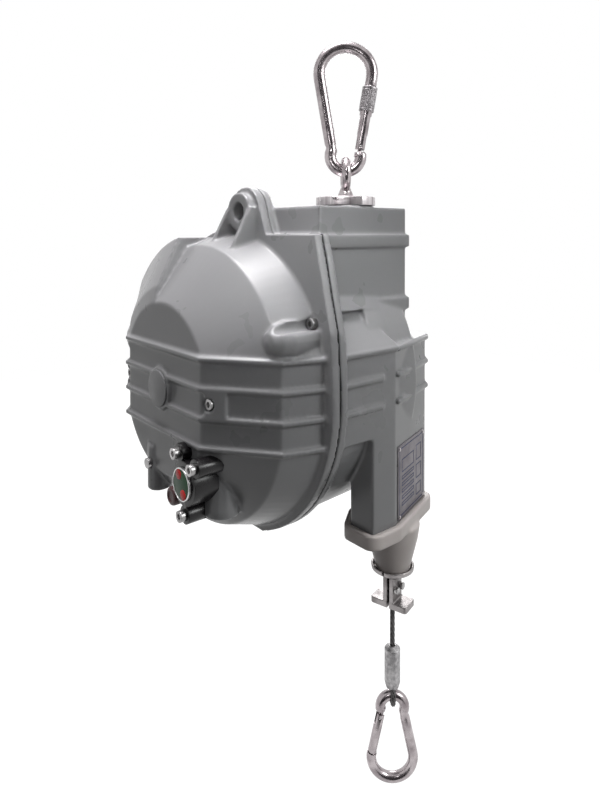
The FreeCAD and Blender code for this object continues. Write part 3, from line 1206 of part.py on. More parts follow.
def drum_pieces():
    """Drum with spring barrel and rope cone, its bearings, cover, wound rope and spiral spring."""
    big = "rope_x - rope_radius - seat_gap"
    ring = Piece("drum")
    section = ring.sketch("drum_section")
    ring.outline(section, [
        ("barrel_radius - drum_wall", "barrel_front"),
        ("barrel_radius", "barrel_front"),
        ("barrel_radius", "barrel_back"),
        ("cone_small + 6", "barrel_back"),
        ("cone_small + 6", "cone_start"),
        ("cone_small", "cone_start"),
        (big, "rope_y"),
        (big, "drum_back - 5"),
        ("drum_flange", "drum_back - 5"),
        ("drum_flange", "drum_back"),
        (f"{big} - 6", "drum_back"),
        ("cone_small - 6", "cone_start + 4"),
        ("drum_hub", "cone_start + 4"),
        ("drum_hub", "drum_back - 1"),
        ("bearing_radius", "drum_back - 1"),
        ("bearing_radius", "barrel_back - 6"),
        ("barrel_radius - drum_wall", "barrel_back - 6"),
    ])
    ring.turn("Revolution", section, "drum_turned")
    ring.place()
    piece = Piece("drum_bearings")
    for name, start in (("front", "barrel_back - 6"), ("rear", "drum_back - 1 - bearing_width")):
        section = piece.sketch(f"{name}_bearing_section")
        piece.outline(section, [
            ("shaft_radius + running", start),
            ("bearing_radius", start),
            ("bearing_radius", f"{start} + bearing_width"),
            ("shaft_radius + running", f"{start} + bearing_width"),
        ])
        piece.turn("Revolution", section, f"{name}_bearing")
    piece.place()
    ring_on_shaft("spring_cover", "spring_inner + 3", "barrel_radius", "barrel_front - cover_plate", "cover_plate")
    last = f"(cone_small + ({big} - cone_small) * (rope_y - 2 * rope_radius - cone_start) / (rope_y - cone_start))"
    round_piece("rope_turns", [
        ("cone_small", "cone_start"),
        ("cone_small + 2 * rope_radius", "cone_start"),
        (f"{last} + 2 * rope_radius", "rope_y - 2 * rope_radius"),
        (last, "rope_y - 2 * rope_radius"),
    ], ("0", "0", "0"), "XY_Plane")

    inner, outer, turns = read("spring_inner"), read("spring_outer"), read("spring_turns")
    strip, steps = read("spring_strip"), 20
    total = int(turns * steps)

    def spiral(offset):
        for step in range(total + 1):
            radius = inner + (outer - inner) * step / total + offset
            angle = math.tau * step / steps
            yield Vector(radius * math.cos(angle), read("barrel_front") + 5, radius * math.sin(angle))

    corners = list(spiral(0)) + list(spiral(strip))[::-1]
    coil = Part.Face(Part.makePolygon(corners + corners[:1]))
    width = read("barrel_back") - read("barrel_front") - 16
    shaped("drum_spring", coil.extrude(Vector(0, width, 0)))


def shaft_and_worm():
    """Main shaft, worm wheel with teeth cut round the rim, and upright worm with hexagon end."""
    ring_on_shaft("main_shaft", "0", "shaft_radius", "-cover_depth + wall + 0.5",
                  "cover_depth - 2 * wall + rear_depth - 1")
    wheel = Piece("worm_wheel")
    disc = wheel.sketch("wheel_disc", "XZ_Plane", ("0", "0", "-worm_y - wheel_width / 2"))
    wheel.circle(disc, "0", "0", "wheel_radius + 2")
    wheel.circle(disc, "0", "0", "shaft_radius")
    wheel.pad(disc, "wheel_blank", "wheel_width")
    tooth = wheel.sketch("wheel_gap", "XZ_Plane", ("0", "0", "-worm_y - wheel_width / 2"))
    wheel.outline(tooth, [
        ("wheel_radius - 3", "-0.9"),
        ("wheel_radius + 3", "-2.4"),
        ("wheel_radius + 3", "2.4"),
        ("wheel_radius - 3", "0.9"),
    ])
    gap = wheel.pocket(tooth, "wheel_gap_cut", "wheel_width", back=True)
    wheel.around([gap], "wheel_teeth_cut", tooth, "wheel_teeth")
    wheel.place()

    worm = Piece("worm_screw")
    section = worm.sketch("worm_section", "XZ_Plane", (WORM_X, "0", "-worm_y"))
    worm.outline(section, [
        ("0", "worm_length / 2 + 6"),
        ("worm_shank", "worm_length / 2 + 6"),
        ("worm_shank", "worm_length / 2"),
        ("worm_radius - 3.2", "worm_length / 2"),
        ("worm_radius - 3.2", "-worm_length / 2"),
        ("worm_shank", "-worm_length / 2"),
        ("worm_shank", "worm_bottom + 12"),
        ("0", "worm_bottom + 12"),
    ])
    worm.turn("Revolution", section, "worm_core")
    hexagon = worm.sketch("worm_hexagon", shift=("0", "0", "worm_bottom"))
    worm.outline(hexagon, [
        (f"{WORM_X} + worm_shank * {1.1 * math.cos(math.radians(60 * step)):.4f}",
         f"worm_y + worm_shank * {1.1 * math.sin(math.radians(60 * step)):.4f}")
        for step in range(6)
    ])
    worm.pad(hexagon, "worm_hexagon_pad", "13")
    worm.place()


def worm_bush():
    """Bronze bush that carries the worm in the fairing."""
    round_piece("worm_bush", [
        ("worm_shank + running", "worm_bottom + 14"),
        ("worm_shank + 3", "worm_bottom + 14"),
        ("worm_shank + 3", "worm_bottom + 30"),
        ("worm_shank + running", "worm_bottom + 30"),
    ], (WORM_X, "worm_y", "0"))


def lock_knob():
    """Round knob of the drum lock with the pin that reaches into the housing."""
    round_piece("lock_knob", [
        ("0", "-knob_height"),
        ("knob_radius - 1.5", "-knob_height"),
        ("knob_radius", "1.5 - knob_height"),
        ("knob_radius", "0"),
        ("screw_radius", "0"),
        ("screw_radius", "barrel_front - cover_plate - knob_gap - knob_base"),
        ("0", "barrel_front - cover_plate - knob_gap - knob_base"),
    ], (KNOB_X, "knob_base", KNOB_Z), "XY_Plane")


def check_and_write():
    """Every object must be sound before the pieces are written, one file each."""
    doc.recompute()
    for item in doc.Objects:
        if "Invalid" in item.State or "Error" in item.State:
            raise RuntimeError(f"{item.Label} did not recompute: {item.State}")
    for item in PIECES:
        if item.Shape.isNull() or not item.Shape.isValid() or not item.Shape.Solids:
            raise RuntimeError(f"{item.Label} has no sound solid")
    os.makedirs("parts", exist_ok=True)
    for item in PIECES:
        item.Shape.exportStep(f"parts/{item.Label}.step")
        print(f"{item.Label}: {len(item.Shape.Solids)} solid(s), {item.Shape.Volume / 1000:.1f} cm3")


front_cover()
rear_housing()
seam_gasket()
fixed_fittings()
suspension_plate()
rope_bumper()
label_and_rivets()
eye_pieces()
hooks()
rope_end()
drum_pieces()
shaft_and_worm()
worm_bush()
lock_knob()
check_and_write()
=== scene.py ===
"""Looks of a spring tool balancer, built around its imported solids."""

import json
import logging
import math
from dataclasses import dataclass, field
from enum import Enum
from typing import Callable, Sequence

import bpy
from mathutils import Matrix, Vector


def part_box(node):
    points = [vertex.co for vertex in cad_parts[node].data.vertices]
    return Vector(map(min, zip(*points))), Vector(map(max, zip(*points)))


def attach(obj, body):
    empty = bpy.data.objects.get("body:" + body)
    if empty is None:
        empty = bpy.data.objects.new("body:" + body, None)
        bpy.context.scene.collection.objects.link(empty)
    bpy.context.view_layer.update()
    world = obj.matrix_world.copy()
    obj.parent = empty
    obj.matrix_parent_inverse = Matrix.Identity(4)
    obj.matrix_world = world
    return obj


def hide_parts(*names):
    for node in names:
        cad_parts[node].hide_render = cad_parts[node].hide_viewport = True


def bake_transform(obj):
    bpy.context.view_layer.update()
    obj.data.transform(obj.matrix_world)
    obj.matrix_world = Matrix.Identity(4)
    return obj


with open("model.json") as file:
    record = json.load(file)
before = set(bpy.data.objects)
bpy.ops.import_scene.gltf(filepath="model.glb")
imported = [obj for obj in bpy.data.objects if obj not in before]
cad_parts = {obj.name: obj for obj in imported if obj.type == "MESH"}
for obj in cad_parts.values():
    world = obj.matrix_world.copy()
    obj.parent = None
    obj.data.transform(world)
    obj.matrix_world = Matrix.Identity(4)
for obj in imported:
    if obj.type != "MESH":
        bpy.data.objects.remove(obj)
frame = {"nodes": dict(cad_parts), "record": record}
LOG = logging.getLogger("tool_balancer")

Point = tuple[float, float, float]
Colour = tuple[float, float, float]
Pair = tuple[float, float]

MM = 0.001
WELD = 0.01 * MM
FLAT = math.radians(0.3)
ALL_SMOOTH = math.pi
EYE_TURN = math.radians(50.1)
ROPE_AXIS = Vector((0.034, 0.033, 0.0))
WHITE = (1.0, 1.0, 1.0)
NOISE_SPAN = (0.3, 0.7)
NOISE_ROUGHNESS = 0.55
SHOWN_RAYS = ("Is Camera Ray", "Is Glossy Ray", "Is Transmission Ray")


class Feed(Enum):
    """Sockets of the surface shader that may vary over a piece."""

    COLOUR = "Base Color"
    ROUGHNESS = "Roughness"
    METALLIC = "Metallic"
    NORMAL = "Normal"


class Element(Enum):
    """What an edit step selects."""

    POINT = "VERT"
    EDGE = "EDGE"
    FACE = "FACE"


class Socket:
    """A node output that takes part in Python expressions."""

    def __init__(self, graph: "Graph", output: bpy.types.NodeSocket) -> None:
        self.graph = graph
        self.output = output

    def maths(self, operation: str, *others: "Socket | float") -> "Socket":
        """Add one Math node.

        Args:
            operation: Name of the Math node's operation.
            others: Further operands, sockets or plain numbers.

        Returns:
            The result's socket.
        """
        values = {place: value for place, value in enumerate((self, *others))}
        return self.graph.add("ShaderNodeMath", {"operation": operation}, values)

    def __add__(self, other: "Socket | float") -> "Socket":
        """Sum."""
        return self.maths("ADD", other)

    def __mul__(self, other: "Socket | float") -> "Socket":
        """Product."""
        return self.maths("MULTIPLY", other)

    def power(self, other: float) -> "Socket":
        """Value raised to a power."""
        return self.maths("POWER", other)


class Graph:
    """Nodes of one material or world, built from expressions."""

    def __init__(self, owner: bpy.types.Material | bpy.types.World, end: str) -> None:
        owner.use_nodes = True
        self.tree = owner.node_tree
        self.tree.nodes.clear()
        self.end = self.tree.nodes.new(end)

    def show(self, shader: Socket) -> None:
        """Send a shader to the output."""
        self.tree.links.new(shader.output, self.end.inputs[0])

    def add(
        self, kind: str, settings: dict[str, object], values: dict[int | str, object], output: int | str = 0
    ) -> Socket:
        """Add a node of any kind.

        Args:
            kind: Node type.
            settings: Properties that are set before the sockets.
            values: Socket values or links, by name or place.
            output: Name or place of the output to hand back.

        Returns:
            The chosen output.
        """
        node = self.tree.nodes.new(kind)
        for key, value in settings.items():
            setattr(node, key, value)
        for key, value in values.items():
            target = node.inputs[key]
            if isinstance(value, Socket):
                self.tree.links.new(value.output, target)
            else:
                target.default_value = value
        return Socket(self, node.outputs[output])

    def seen(self) -> Socket:
        """One on the rays that show a thing to the eye, nought on the rest."""
        either, *others = (self.add("ShaderNodeLightPath", {}, {}, kind) for kind in SHOWN_RAYS)
        for other in others:
            either = either.maths("MAXIMUM", other)
        return either

    def axis(self, name: str, at: Socket) -> Socket:
        """One coordinate of a place."""
        return self.add("ShaderNodeSeparateXYZ", {}, {0: at}, name)

    def remap(self, value: Socket, low: float, high: float, out_low: float, out_high: float) -> Socket:
        """Map a value from one range to another, clamped."""
        values = {"Value": value, "From Min": low, "From Max": high, "To Min": out_low, "To Max": out_high}
        return self.add("ShaderNodeMapRange", {"clamp": True}, values)

    def mix(self, share: Socket | float, first: Socket | Colour, second: Socket | Colour) -> Socket:
        """Blend two colours."""
        values: dict[int | str, object] = {0: share}
        for place, colour in ((6, first), (7, second)):
            values[place] = colour if isinstance(colour, Socket) else (*colour, 1.0)
        return self.add("ShaderNodeMix", {"data_type": "RGBA"}, values, 2)


class Coat(Graph):
    """One material with a single surface shader."""

    def __init__(self, name: str) -> None:
        self.material = bpy.data.materials.new(name)
        super().__init__(self.material, "ShaderNodeOutputMaterial")
        self.shader = self.tree.nodes.new("ShaderNodeBsdfPrincipled")
        self.surface = Socket(self, self.shader.outputs[0])
        self.show(self.surface)
        self.place = self.add("ShaderNodeTexCoord", {}, {}, "Object")

    def noise(self, scale: float, detail: float = 3.0, at: Socket | None = None) -> Socket:
        """Fractal noise on the object's own coordinates."""
        values = {"Vector": at or self.place, "Scale": scale, "Detail": detail, "Roughness": NOISE_ROUGHNESS}
        return self.add("ShaderNodeTexNoise", {}, values, "Fac")

    def stretch(self, scale: Point) -> Socket:
        """Object coordinates, scaled."""
        return self.add("ShaderNodeMapping", {}, {"Vector": self.place, "Scale": scale})

    def bump(self, height: Socket, strength: float, distance: float, under: Socket) -> Socket:
        """Turn a height into a normal."""
        values = {"Height": height, "Strength": strength, "Distance": distance, "Normal": under}
        return self.add("ShaderNodeBump", {}, values)

    def soft_edges(self, radius: float) -> Socket:
        """Normal that rounds every edge by a radius."""
        return self.add("ShaderNodeBevel", {"samples": 6}, {"Radius": radius})

    def feed(self, target: Feed, value: Socket | Colour | float) -> None:
        """Set or link one varying socket of the surface."""
        socket = self.shader.inputs[target.value]
        if isinstance(value, Socket):
            self.tree.links.new(value.output, socket)
        elif isinstance(value, tuple):
            socket.default_value = (*value, 1.0)
        else:
            socket.default_value = value

    def worn(self, scale: float, smooth: float, coarse: float) -> None:
        """Let the roughness wander between two values."""
        self.feed(Feed.ROUGHNESS, self.remap(self.noise(scale), *NOISE_SPAN, smooth, coarse))

    def plain(self, **values: float | Colour) -> None:
        """Set sockets that are the same all over the surface."""
        for name, value in values.items():
            socket = self.shader.inputs[name.replace("_", " ").title().replace("Ior", "IOR")]
            socket.default_value = (*value, 1.0) if isinstance(value, tuple) else value


@dataclass(frozen=True)
class Paint:
    """Satin coat on a casting: fine orange peel, faint mottling, edges rounded in shading."""

    name: str = "cast_paint"
    colour: Colour = (0.185, 0.185, 0.190)
    light: Colour = (0.235, 0.235, 0.24)
    rough: float = 0.3
    grain: float = 900.0
    edge: float = 1.1 * MM

    def make(self) -> bpy.types.Material:
        """Build the material."""
        graph = Coat(self.name)
        mottle = graph.noise(7.0, 4.0)
        speck = graph.noise(260.0, 2.0)
        tone = graph.mix(graph.remap(mottle, *NOISE_SPAN, 0.0, 0.45), self.colour, self.light)
        tone = graph.mix(graph.remap(speck, 0.62, 0.78, 0.0, 0.18), tone, self.light)
        graph.feed(Feed.COLOUR, tone)
        graph.worn(22.0, self.rough - 0.05, self.rough + 0.08)
        peel = graph.noise(self.grain, 2.0)
        graph.feed(Feed.NORMAL, graph.bump(peel, 0.12, 0.0004, graph.soft_edges(self.edge)))
        graph.plain(specular_ior_level=0.3)
        return graph.material


@dataclass(frozen=True)
class Metal:
    """Bare or plated metal with fine scratches and slight tarnish."""

    name: str
    colour: Colour = (0.55, 0.55, 0.54)
    dark: Colour = (0.34, 0.34, 0.33)
    rough: float = 0.3
    scratch: Point = (900.0, 900.0, 60.0)
    depth: float = 0.00008
    metallic: float = 1.0
    edge: float = 0.4 * MM
    blot: Point = (55.0, 55.0, 55.0)

    def make(self) -> bpy.types.Material:
        """Build the material."""
        graph = Coat(self.name)
        blot = graph.remap(graph.noise(1.0, 4.0, at=graph.stretch(self.blot)), 0.35, 0.68, 0.0, 0.85)
        graph.feed(Feed.COLOUR, graph.mix(blot, self.colour, self.dark))
        graph.feed(Feed.METALLIC, self.metallic)
        graph.worn(120.0, self.rough - 0.07, self.rough + 0.12)
        lines = graph.noise(1.0, 2.0, at=graph.stretch(self.scratch))
        graph.feed(Feed.NORMAL, graph.bump(lines, 0.3, self.depth, graph.soft_edges(self.edge)))
        return graph.material


@dataclass(frozen=True)
class Plastic:
    """Moulded plastic or rubber with a faint grain and handling marks."""

    name: str
    colour: Colour
    mark: Colour
    rough: float = 0.5
    grain: float = 1500.0
    see_through: float = 0.0
    edge: float = 0.8 * MM
    shine: float = 0.25

    def make(self) -> bpy.types.Material:
        """Build the material."""
        graph = Coat(self.name)
        soil = graph.remap(graph.noise(30.0, 5.0), 0.45, 0.75, 0.0, 0.6)
        graph.feed(Feed.COLOUR, graph.mix(soil, self.colour, self.mark))
        graph.worn(80.0, self.rough - 0.06, self.rough + 0.1)
        pores = graph.noise(self.grain)
        graph.feed(Feed.NORMAL, graph.bump(pores, 0.15, 0.0002, graph.soft_edges(self.edge)))
        graph.plain(specular_ior_level=self.shine)
        if self.see_through:
            graph.plain(subsurface_weight=self.see_through, subsurface_scale=0.01)
            graph.shader.inputs["Subsurface Radius"].default_value = (1.0, 0.95, 0.85)
        return graph.material


@dataclass
class Finishes:
    """All finishes of the balancer, each under its name."""

    made: dict[str, bpy.types.Material] = field(default_factory=dict)

    def build(self) -> None:
        """Make every material once."""
        recipes = [
            Paint(),
            Metal("screw_steel", (0.42, 0.41, 0.41), (0.14, 0.14, 0.14), 0.3),
            Metal("plate_steel", (0.6, 0.57, 0.58), (0.22, 0.19, 0.2), 0.3,
                  scratch=(900.0, 900.0, 8.0), depth=0.0003, blot=(260.0, 260.0, 3.0)),
            Metal("hook_steel", (0.46, 0.42, 0.43), (0.22, 0.19, 0.2), 0.22,
                  scratch=(500.0,) * 3, depth=0.00015, blot=(90.0,) * 3),
            Metal("sleeve_steel", (0.4, 0.38, 0.39), (0.14, 0.13, 0.135), 0.42,
                  scratch=(900.0,) * 3, depth=0.0004, blot=(420.0,) * 3),
            Metal("bronze", (0.6, 0.4, 0.18), (0.4, 0.25, 0.1), 0.35),
            Metal("plate_sheet", (0.2, 0.185, 0.2), (0.13, 0.12, 0.135), 0.45, metallic=0.5),
            Metal("clamp_metal", (0.34, 0.32, 0.32), (0.12, 0.11, 0.11), 0.4,
                  scratch=(700.0,) * 3, depth=0.0003),
            Metal("ferrule_metal", (0.46, 0.45, 0.455), (0.2, 0.195, 0.2), 0.5,
                  scratch=(900.0,) * 3, depth=0.0003, blot=(240.0,) * 3),
            Metal("rope_steel", (0.12, 0.115, 0.115), (0.05, 0.05, 0.05), 0.45),
            Metal("drum_metal", (0.66, 0.66, 0.65), (0.5, 0.5, 0.5), 0.4),
            Metal("shaft_steel", (0.55, 0.55, 0.55), (0.4, 0.4, 0.4), 0.3),
            Metal("spring_steel", (0.2, 0.22, 0.27), (0.12, 0.13, 0.16), 0.35),
            Plastic("seal", (0.03, 0.032, 0.032), (0.06, 0.06, 0.06), 0.6),
            Plastic("bumper_plastic", (0.55, 0.505, 0.49), (0.46, 0.415, 0.4), 0.4,
                    see_through=0.25, edge=3 * MM),
            Plastic("dial_green", (0.004, 0.06, 0.014), (0.012, 0.08, 0.03), 0.3, shine=0.15),
            Plastic("mark_red", (0.85, 0.012, 0.012), (0.7, 0.02, 0.015), 0.3, shine=0.15),
            Metal("dial_edge", (0.62, 0.62, 0.62), (0.4, 0.4, 0.4), 0.28),
            Plastic("field_ink", (0.02, 0.03, 0.09), (0.04, 0.05, 0.11), 0.5),
            Plastic("ring_black", (0.008, 0.007, 0.008), (0.02, 0.018, 0.019), 0.28, shine=0.3),
            Plastic("knob_dark", (0.075, 0.03, 0.032), (0.12, 0.06, 0.06), 0.32),
            Plastic("cap_metal", (0.185, 0.185, 0.19), (0.235, 0.235, 0.24), 0.34),
        ]
        for recipe in recipes:
            self.made[recipe.name] = recipe.make()

    def dress(self, piece: bpy.types.Object, slot: str, finish: str | None = None) -> None:
        """Give a piece its finish.

        Args:
            piece: Object to dress.
            slot: The record's material slot.
            finish: Finish if it differs from the slot's own.
        """
        piece.data.materials.clear()
        piece.data.materials.append(self.made[finish or slot])


@dataclass(frozen=True)
class Lamp:
    """Soft round area lamp aimed at a point."""

    name: str
    place: Point
    target: Point
    size: float
    watts: float
    colour: Colour = WHITE
    spread_degrees: float = 180.0

    def build(self) -> None:
        """Hang the lamp."""
        data = bpy.data.lights.new(self.name, "AREA")
        data.spread = math.radians(self.spread_degrees)
        data.shape = "DISK"
        data.size = self.size
        data.energy = self.watts
        data.color = self.colour
        lamp = bpy.data.objects.new(self.name, data)
        bpy.context.scene.collection.objects.link(lamp)
        lamp.location = self.place
        aim = Vector(self.target) - Vector(self.place)
        lamp.rotation_euler = aim.to_track_quat("-Z", "Y").to_euler()


@dataclass
class Studio:
    """Plain pale room, soft lamps and the photograph's camera."""

    camera_place: Point = (0.4435, -0.4300, -0.0246)
    yaw: float = 50.13
    pitch: float = 0.71
    lens: float = 27.59
    sensor: float = 36.0
    shift: float = -0.2
    clip: Pair = (0.01, 50.0)
    floor_z: float = -2.85
    floor_size: float = 24.0
    floor_glow: float = 1.15
    shadow_reach: Pair = (0.3, 1.6)
    shadow_share: float = 0.8
    sky_span: Pair = (-0.6, 0.8)
    sky_light: Pair = (0.0, 0.2)
    card_place: Point = (0.80, -0.73, -0.1)
    card_size: Point = (1.9, 2.0, 1.0)
    lamps: tuple[Lamp, ...] = (
        Lamp("overhead", (-0.12, -0.14, 1.0), (-0.06, -0.05, -0.15), 0.65, 29.0, (1.0, 0.985, 1.0)),
        Lamp("side_window", (1.75, 0.75, 0.8), (0.0, 0.0, -0.1), 0.9, 24.0, (0.98, 1.0, 0.99)),
        Lamp("back_window", (-1.5, 1.5, 0.7), (-0.08, 0.0, -0.2), 1.0, 18.0),
        Lamp("front_spot", (0.46, -0.62, -0.02), (-0.02, -0.02, -0.19), 0.14, 0.42),
        Lamp("upper_spot", (0.42, -0.5, 0.36), (0.0, -0.03, -0.06), 0.12, 0.08, spread_degrees=24.0),
    )

    def camera(self) -> None:
        """Create the camera at the photograph's viewing angle."""
        data = bpy.data.cameras.new("camera")
        data.lens = self.lens
        data.sensor_width = self.sensor
        data.shift_y = self.shift
        data.clip_start, data.clip_end = self.clip
        camera = bpy.data.objects.new("camera", data)
        bpy.context.scene.collection.objects.link(camera)
        camera.location = self.camera_place
        camera.rotation_euler = (math.radians(90.0 - self.pitch), 0.0, math.radians(self.yaw))
        bpy.context.scene.camera = camera

    def dark_card(self) -> None:
        """Dark card behind the camera that shows in reflections alone."""
        bpy.ops.mesh.primitive_plane_add(size=1.0)
        card = bpy.context.object
        card.name = "dark_card"
        card.scale = self.card_size
        card.location = self.card_place
        card.rotation_euler = (math.radians(90.0), 0.0, math.radians(self.yaw))
        graph = Coat("card_black")
        graph.feed(Feed.COLOUR, (0.09, 0.085, 0.09))
        graph.feed(Feed.ROUGHNESS, 0.9)
        card.data.materials.append(graph.material)
        card.visible_camera = False
        card.visible_diffuse = False
        card.visible_shadow = False

    def floor(self) -> None:
        """White floor, with a soft shadow near the object."""
        bpy.ops.mesh.primitive_plane_add(size=self.floor_size, location=(0.0, 0.0, self.floor_z))
        floor = bpy.context.object
        floor.name = "floor"
        graph = Coat("floor_white")
        seen = graph.seen()
        graph.feed(Feed.COLOUR, graph.mix(seen, (0.22, 0.22, 0.22), (0.95, 0.95, 0.95)))
        graph.feed(Feed.ROUGHNESS, 0.8)
        graph.plain(specular_ior_level=0.0)
        across, along = (graph.axis(name, graph.place).power(2.0) for name in ("X", "Y"))
        share = graph.remap((across + along).power(0.5), *self.shadow_reach, self.shadow_share, 1.0)
        values = {"Color": (*WHITE, 1.0), "Strength": self.floor_glow}
        glow = graph.add("ShaderNodeEmission", {}, values)
        graph.show(graph.add("ShaderNodeMixShader", {}, {0: seen * share, 1: graph.surface, 2: glow}))
        floor.data.materials.append(graph.material)

    def sky(self) -> None:
        """World that shows white to the camera and gives the object a plain, low light."""
        world = bpy.data.worlds.new("studio")
        bpy.context.scene.world = world
        graph = Graph(world, "ShaderNodeOutputWorld")
        height = graph.axis("Z", graph.add("ShaderNodeTexCoord", {}, {}, "Generated"))
        light = graph.remap(height, *self.sky_span, *self.sky_light)
        dim = graph.add("ShaderNodeBackground", {}, {"Strength": light})
        white = graph.add("ShaderNodeBackground", {}, {"Color": (*WHITE, 1.0), "Strength": 1.0})
        graph.show(graph.add("ShaderNodeMixShader", {}, {0: graph.seen(), 1: dim, 2: white}))

    def build(self) -> None:
        """Set up camera, lamps, floor and world."""
        self.camera()
        for lamp in self.lamps:
            lamp.build()
        self.floor()
        self.sky()
        self.dark_card()
        bpy.context.scene.view_settings.view_transform = "Standard"


def clear_selection() -> None:
    """Deselect everything and leave edit mode."""
    if bpy.context.object and bpy.context.object.mode != "OBJECT":
        bpy.ops.object.mode_set(mode="OBJECT")
    bpy.ops.object.select_all(action="DESELECT")


@dataclass(frozen=True)
class Station:
    """One ring of a bent rod: its middle in the rod's plane, and its radius."""

    right: float
    up: float
    radius: float


@dataclass
class Bench:
    """Modelling steps that every sub-assembly shares."""

    finishes: Finishes
    crease: float = math.radians(35.0)
    casting_faces: int = 180000

    def solo(self, piece: bpy.types.Object) -> None:
        """Select one piece alone."""
        clear_selection()
        piece.select_set(True)
        bpy.context.view_layer.objects.active = piece

    def edit(self, piece: bpy.types.Object, element: Element = Element.POINT) -> None:
        """Open one piece for editing with everything on it selected."""
        self.solo(piece)
        bpy.ops.object.mode_set(mode="EDIT")
        bpy.ops.mesh.select_mode(type=element.value)
        bpy.ops.mesh.select_all(action="SELECT")

    def modify(self, piece: bpy.types.Object, kind: str, **settings: object) -> None:
        """Add one modifier and apply it.

        Args:
            piece: Object to change.
            kind: Type of the modifier.
            settings: Its properties.
        """
        self.solo(piece)
        step = piece.modifiers.new(kind.lower(), kind)
        for key, value in settings.items():
            setattr(step, key, value)
        bpy.ops.object.modifier_apply(modifier=step.name)

    def round_off(self, piece: bpy.types.Object, width: float, segments: int, angle: float) -> None:
        """Round the edges that are sharper than an angle in degrees."""
        limit = math.radians(angle)
        self.modify(piece, "BEVEL", width=width, segments=segments, limit_method="ANGLE", angle_limit=limit)

    def merged_copy(self, node: str, name: str, dissolve: bool = True) -> bpy.types.Object:
        """Copy a node's mesh into a new object with its corners joined.

        Args:
            node: Name of the CAD node.
            name: Name of the copy.
            dissolve: Also join the triangles of each flat.

        Returns:
            The copy, at the origin.
        """
        source = frame["nodes"][node]
        piece = bpy.data.objects.new(name, source.data.copy())
        bpy.context.scene.collection.objects.link(piece)
        piece.data.materials.clear()
        self.edit(piece)
        bpy.ops.mesh.remove_doubles(threshold=WELD)
        if dissolve:
            bpy.ops.mesh.dissolve_limited(angle_limit=FLAT)
        bpy.ops.object.mode_set(mode="OBJECT")
        return piece

    def bevelled(
        self, node: str, name: str, width: float, segments: int, angle: float = 40.0
    ) -> bpy.types.Object:
        """Copy a node and round its sharp edges.

        Args:
            node: Name of the CAD node.
            name: Name of the copy.
            width: Width of the rounding in metres.
            segments: Faces across the rounding.
            angle: Edges sharper than this are rounded, in degrees.

        Returns:
            The rounded copy.
        """
        piece = self.merged_copy(node, name)
        self.round_off(piece, width, segments, angle)
        return piece

    def cast_copy(self, node: str, name: str, grid: float, rounds: int) -> bpy.types.Object:
        """Copy a node with the rounded edges and filled corners of a sand casting.

        Args:
            node: Name of the CAD node.
            name: Name of the copy.
            grid: Cell size of the remesh in metres.
            rounds: Smoothing rounds.

        Returns:
            The softened copy.
        """
        piece = self.merged_copy(node, name, dissolve=False)
        self.modify(piece, "REMESH", mode="VOXEL", voxel_size=grid, adaptivity=0.0)
        LOG.info("piece %s has %d faces before it is thinned", name, len(piece.data.polygons))
        self.modify(piece, "SMOOTH", factor=0.5, iterations=rounds)
        share = self.casting_faces / (2.0 * max(len(piece.data.polygons), 1))
        if share < 1.0:
            self.modify(piece, "DECIMATE", ratio=share)
            self.modify(piece, "SMOOTH", factor=0.5, iterations=1)
        return piece

    def ring(
        self, name: str, sides: int, radius: float, middle: Point, lean: float = 0.0
    ) -> bpy.types.Object:
        """Start a piece with one ring of edges and open it for editing."""
        clear_selection()
        bpy.ops.mesh.primitive_circle_add(
            vertices=sides, radius=radius, location=middle, rotation=(0.0, lean, 0.0)
        )
        piece = bpy.context.object
        piece.name = name
        bpy.ops.object.transform_apply(location=True, rotation=True, scale=True)
        self.edit(piece, Element.EDGE)
        return piece

    @staticmethod
    def draw_out(step: Point) -> None:
        """Extrude the selected edges by a step."""
        bpy.ops.mesh.extrude_edges_move(TRANSFORM_OT_translate={"value": step})

    @staticmethod
    def face_outwards() -> None:
        """Turn every face outwards and close the edit."""
        bpy.ops.mesh.select_all(action="SELECT")
        bpy.ops.mesh.normals_make_consistent(inside=False)
        bpy.ops.object.mode_set(mode="OBJECT")

    def inset_faces(
        self, piece: bpy.types.Object, rule: Callable[[bpy.types.MeshPolygon], bool],
        margin: float, depth: float,
    ) -> None:
        """Raise or sink the faces that a rule picks, each by itself.

        Args:
            piece: Object to change.
            rule: Says whether a face is meant.
            margin: Width of the border left round the face.
            depth: How far the face rises, or sinks if it is below nought.
        """
        self.edit(piece, Element.FACE)
        bpy.ops.mesh.select_all(action="DESELECT")
        bpy.ops.object.mode_set(mode="OBJECT")
        for face in piece.data.polygons:
            face.select = rule(face)
        bpy.ops.object.mode_set(mode="EDIT")
        bpy.ops.mesh.inset(thickness=margin, depth=depth, use_individual=True)
        bpy.ops.object.mode_set(mode="OBJECT")

    def turned(
        self, name: str, profile: Sequence[Pair], sides: int, closed: bool = False
    ) -> bpy.types.Object:
        """Turn a profile about the upright axis.

        Args:
            name: Name of the piece.
            profile: Radius and height of every ring.
            sides: Faces round the piece.
            closed: The last ring meets the first, as on a tube.

        Returns:
            The turned piece at the origin.
        """
        radius, height = profile[0]
        piece = self.ring(name, sides, radius, (0.0, 0.0, height))
        if not closed:
            bpy.ops.mesh.edge_face_add()
        for (was, low), (now, high) in zip(profile, profile[1:]):
            self.draw_out((0.0, 0.0, high - low))
            share = now / was
            bpy.ops.transform.resize(value=(share, share, 1.0), center_override=(0.0, 0.0, high))
        if closed:
            bpy.ops.mesh.select_all(action="SELECT")
            bpy.ops.mesh.remove_doubles(threshold=WELD / 2.0)
        else:
            bpy.ops.mesh.edge_face_add()
        self.face_outwards()
        return piece

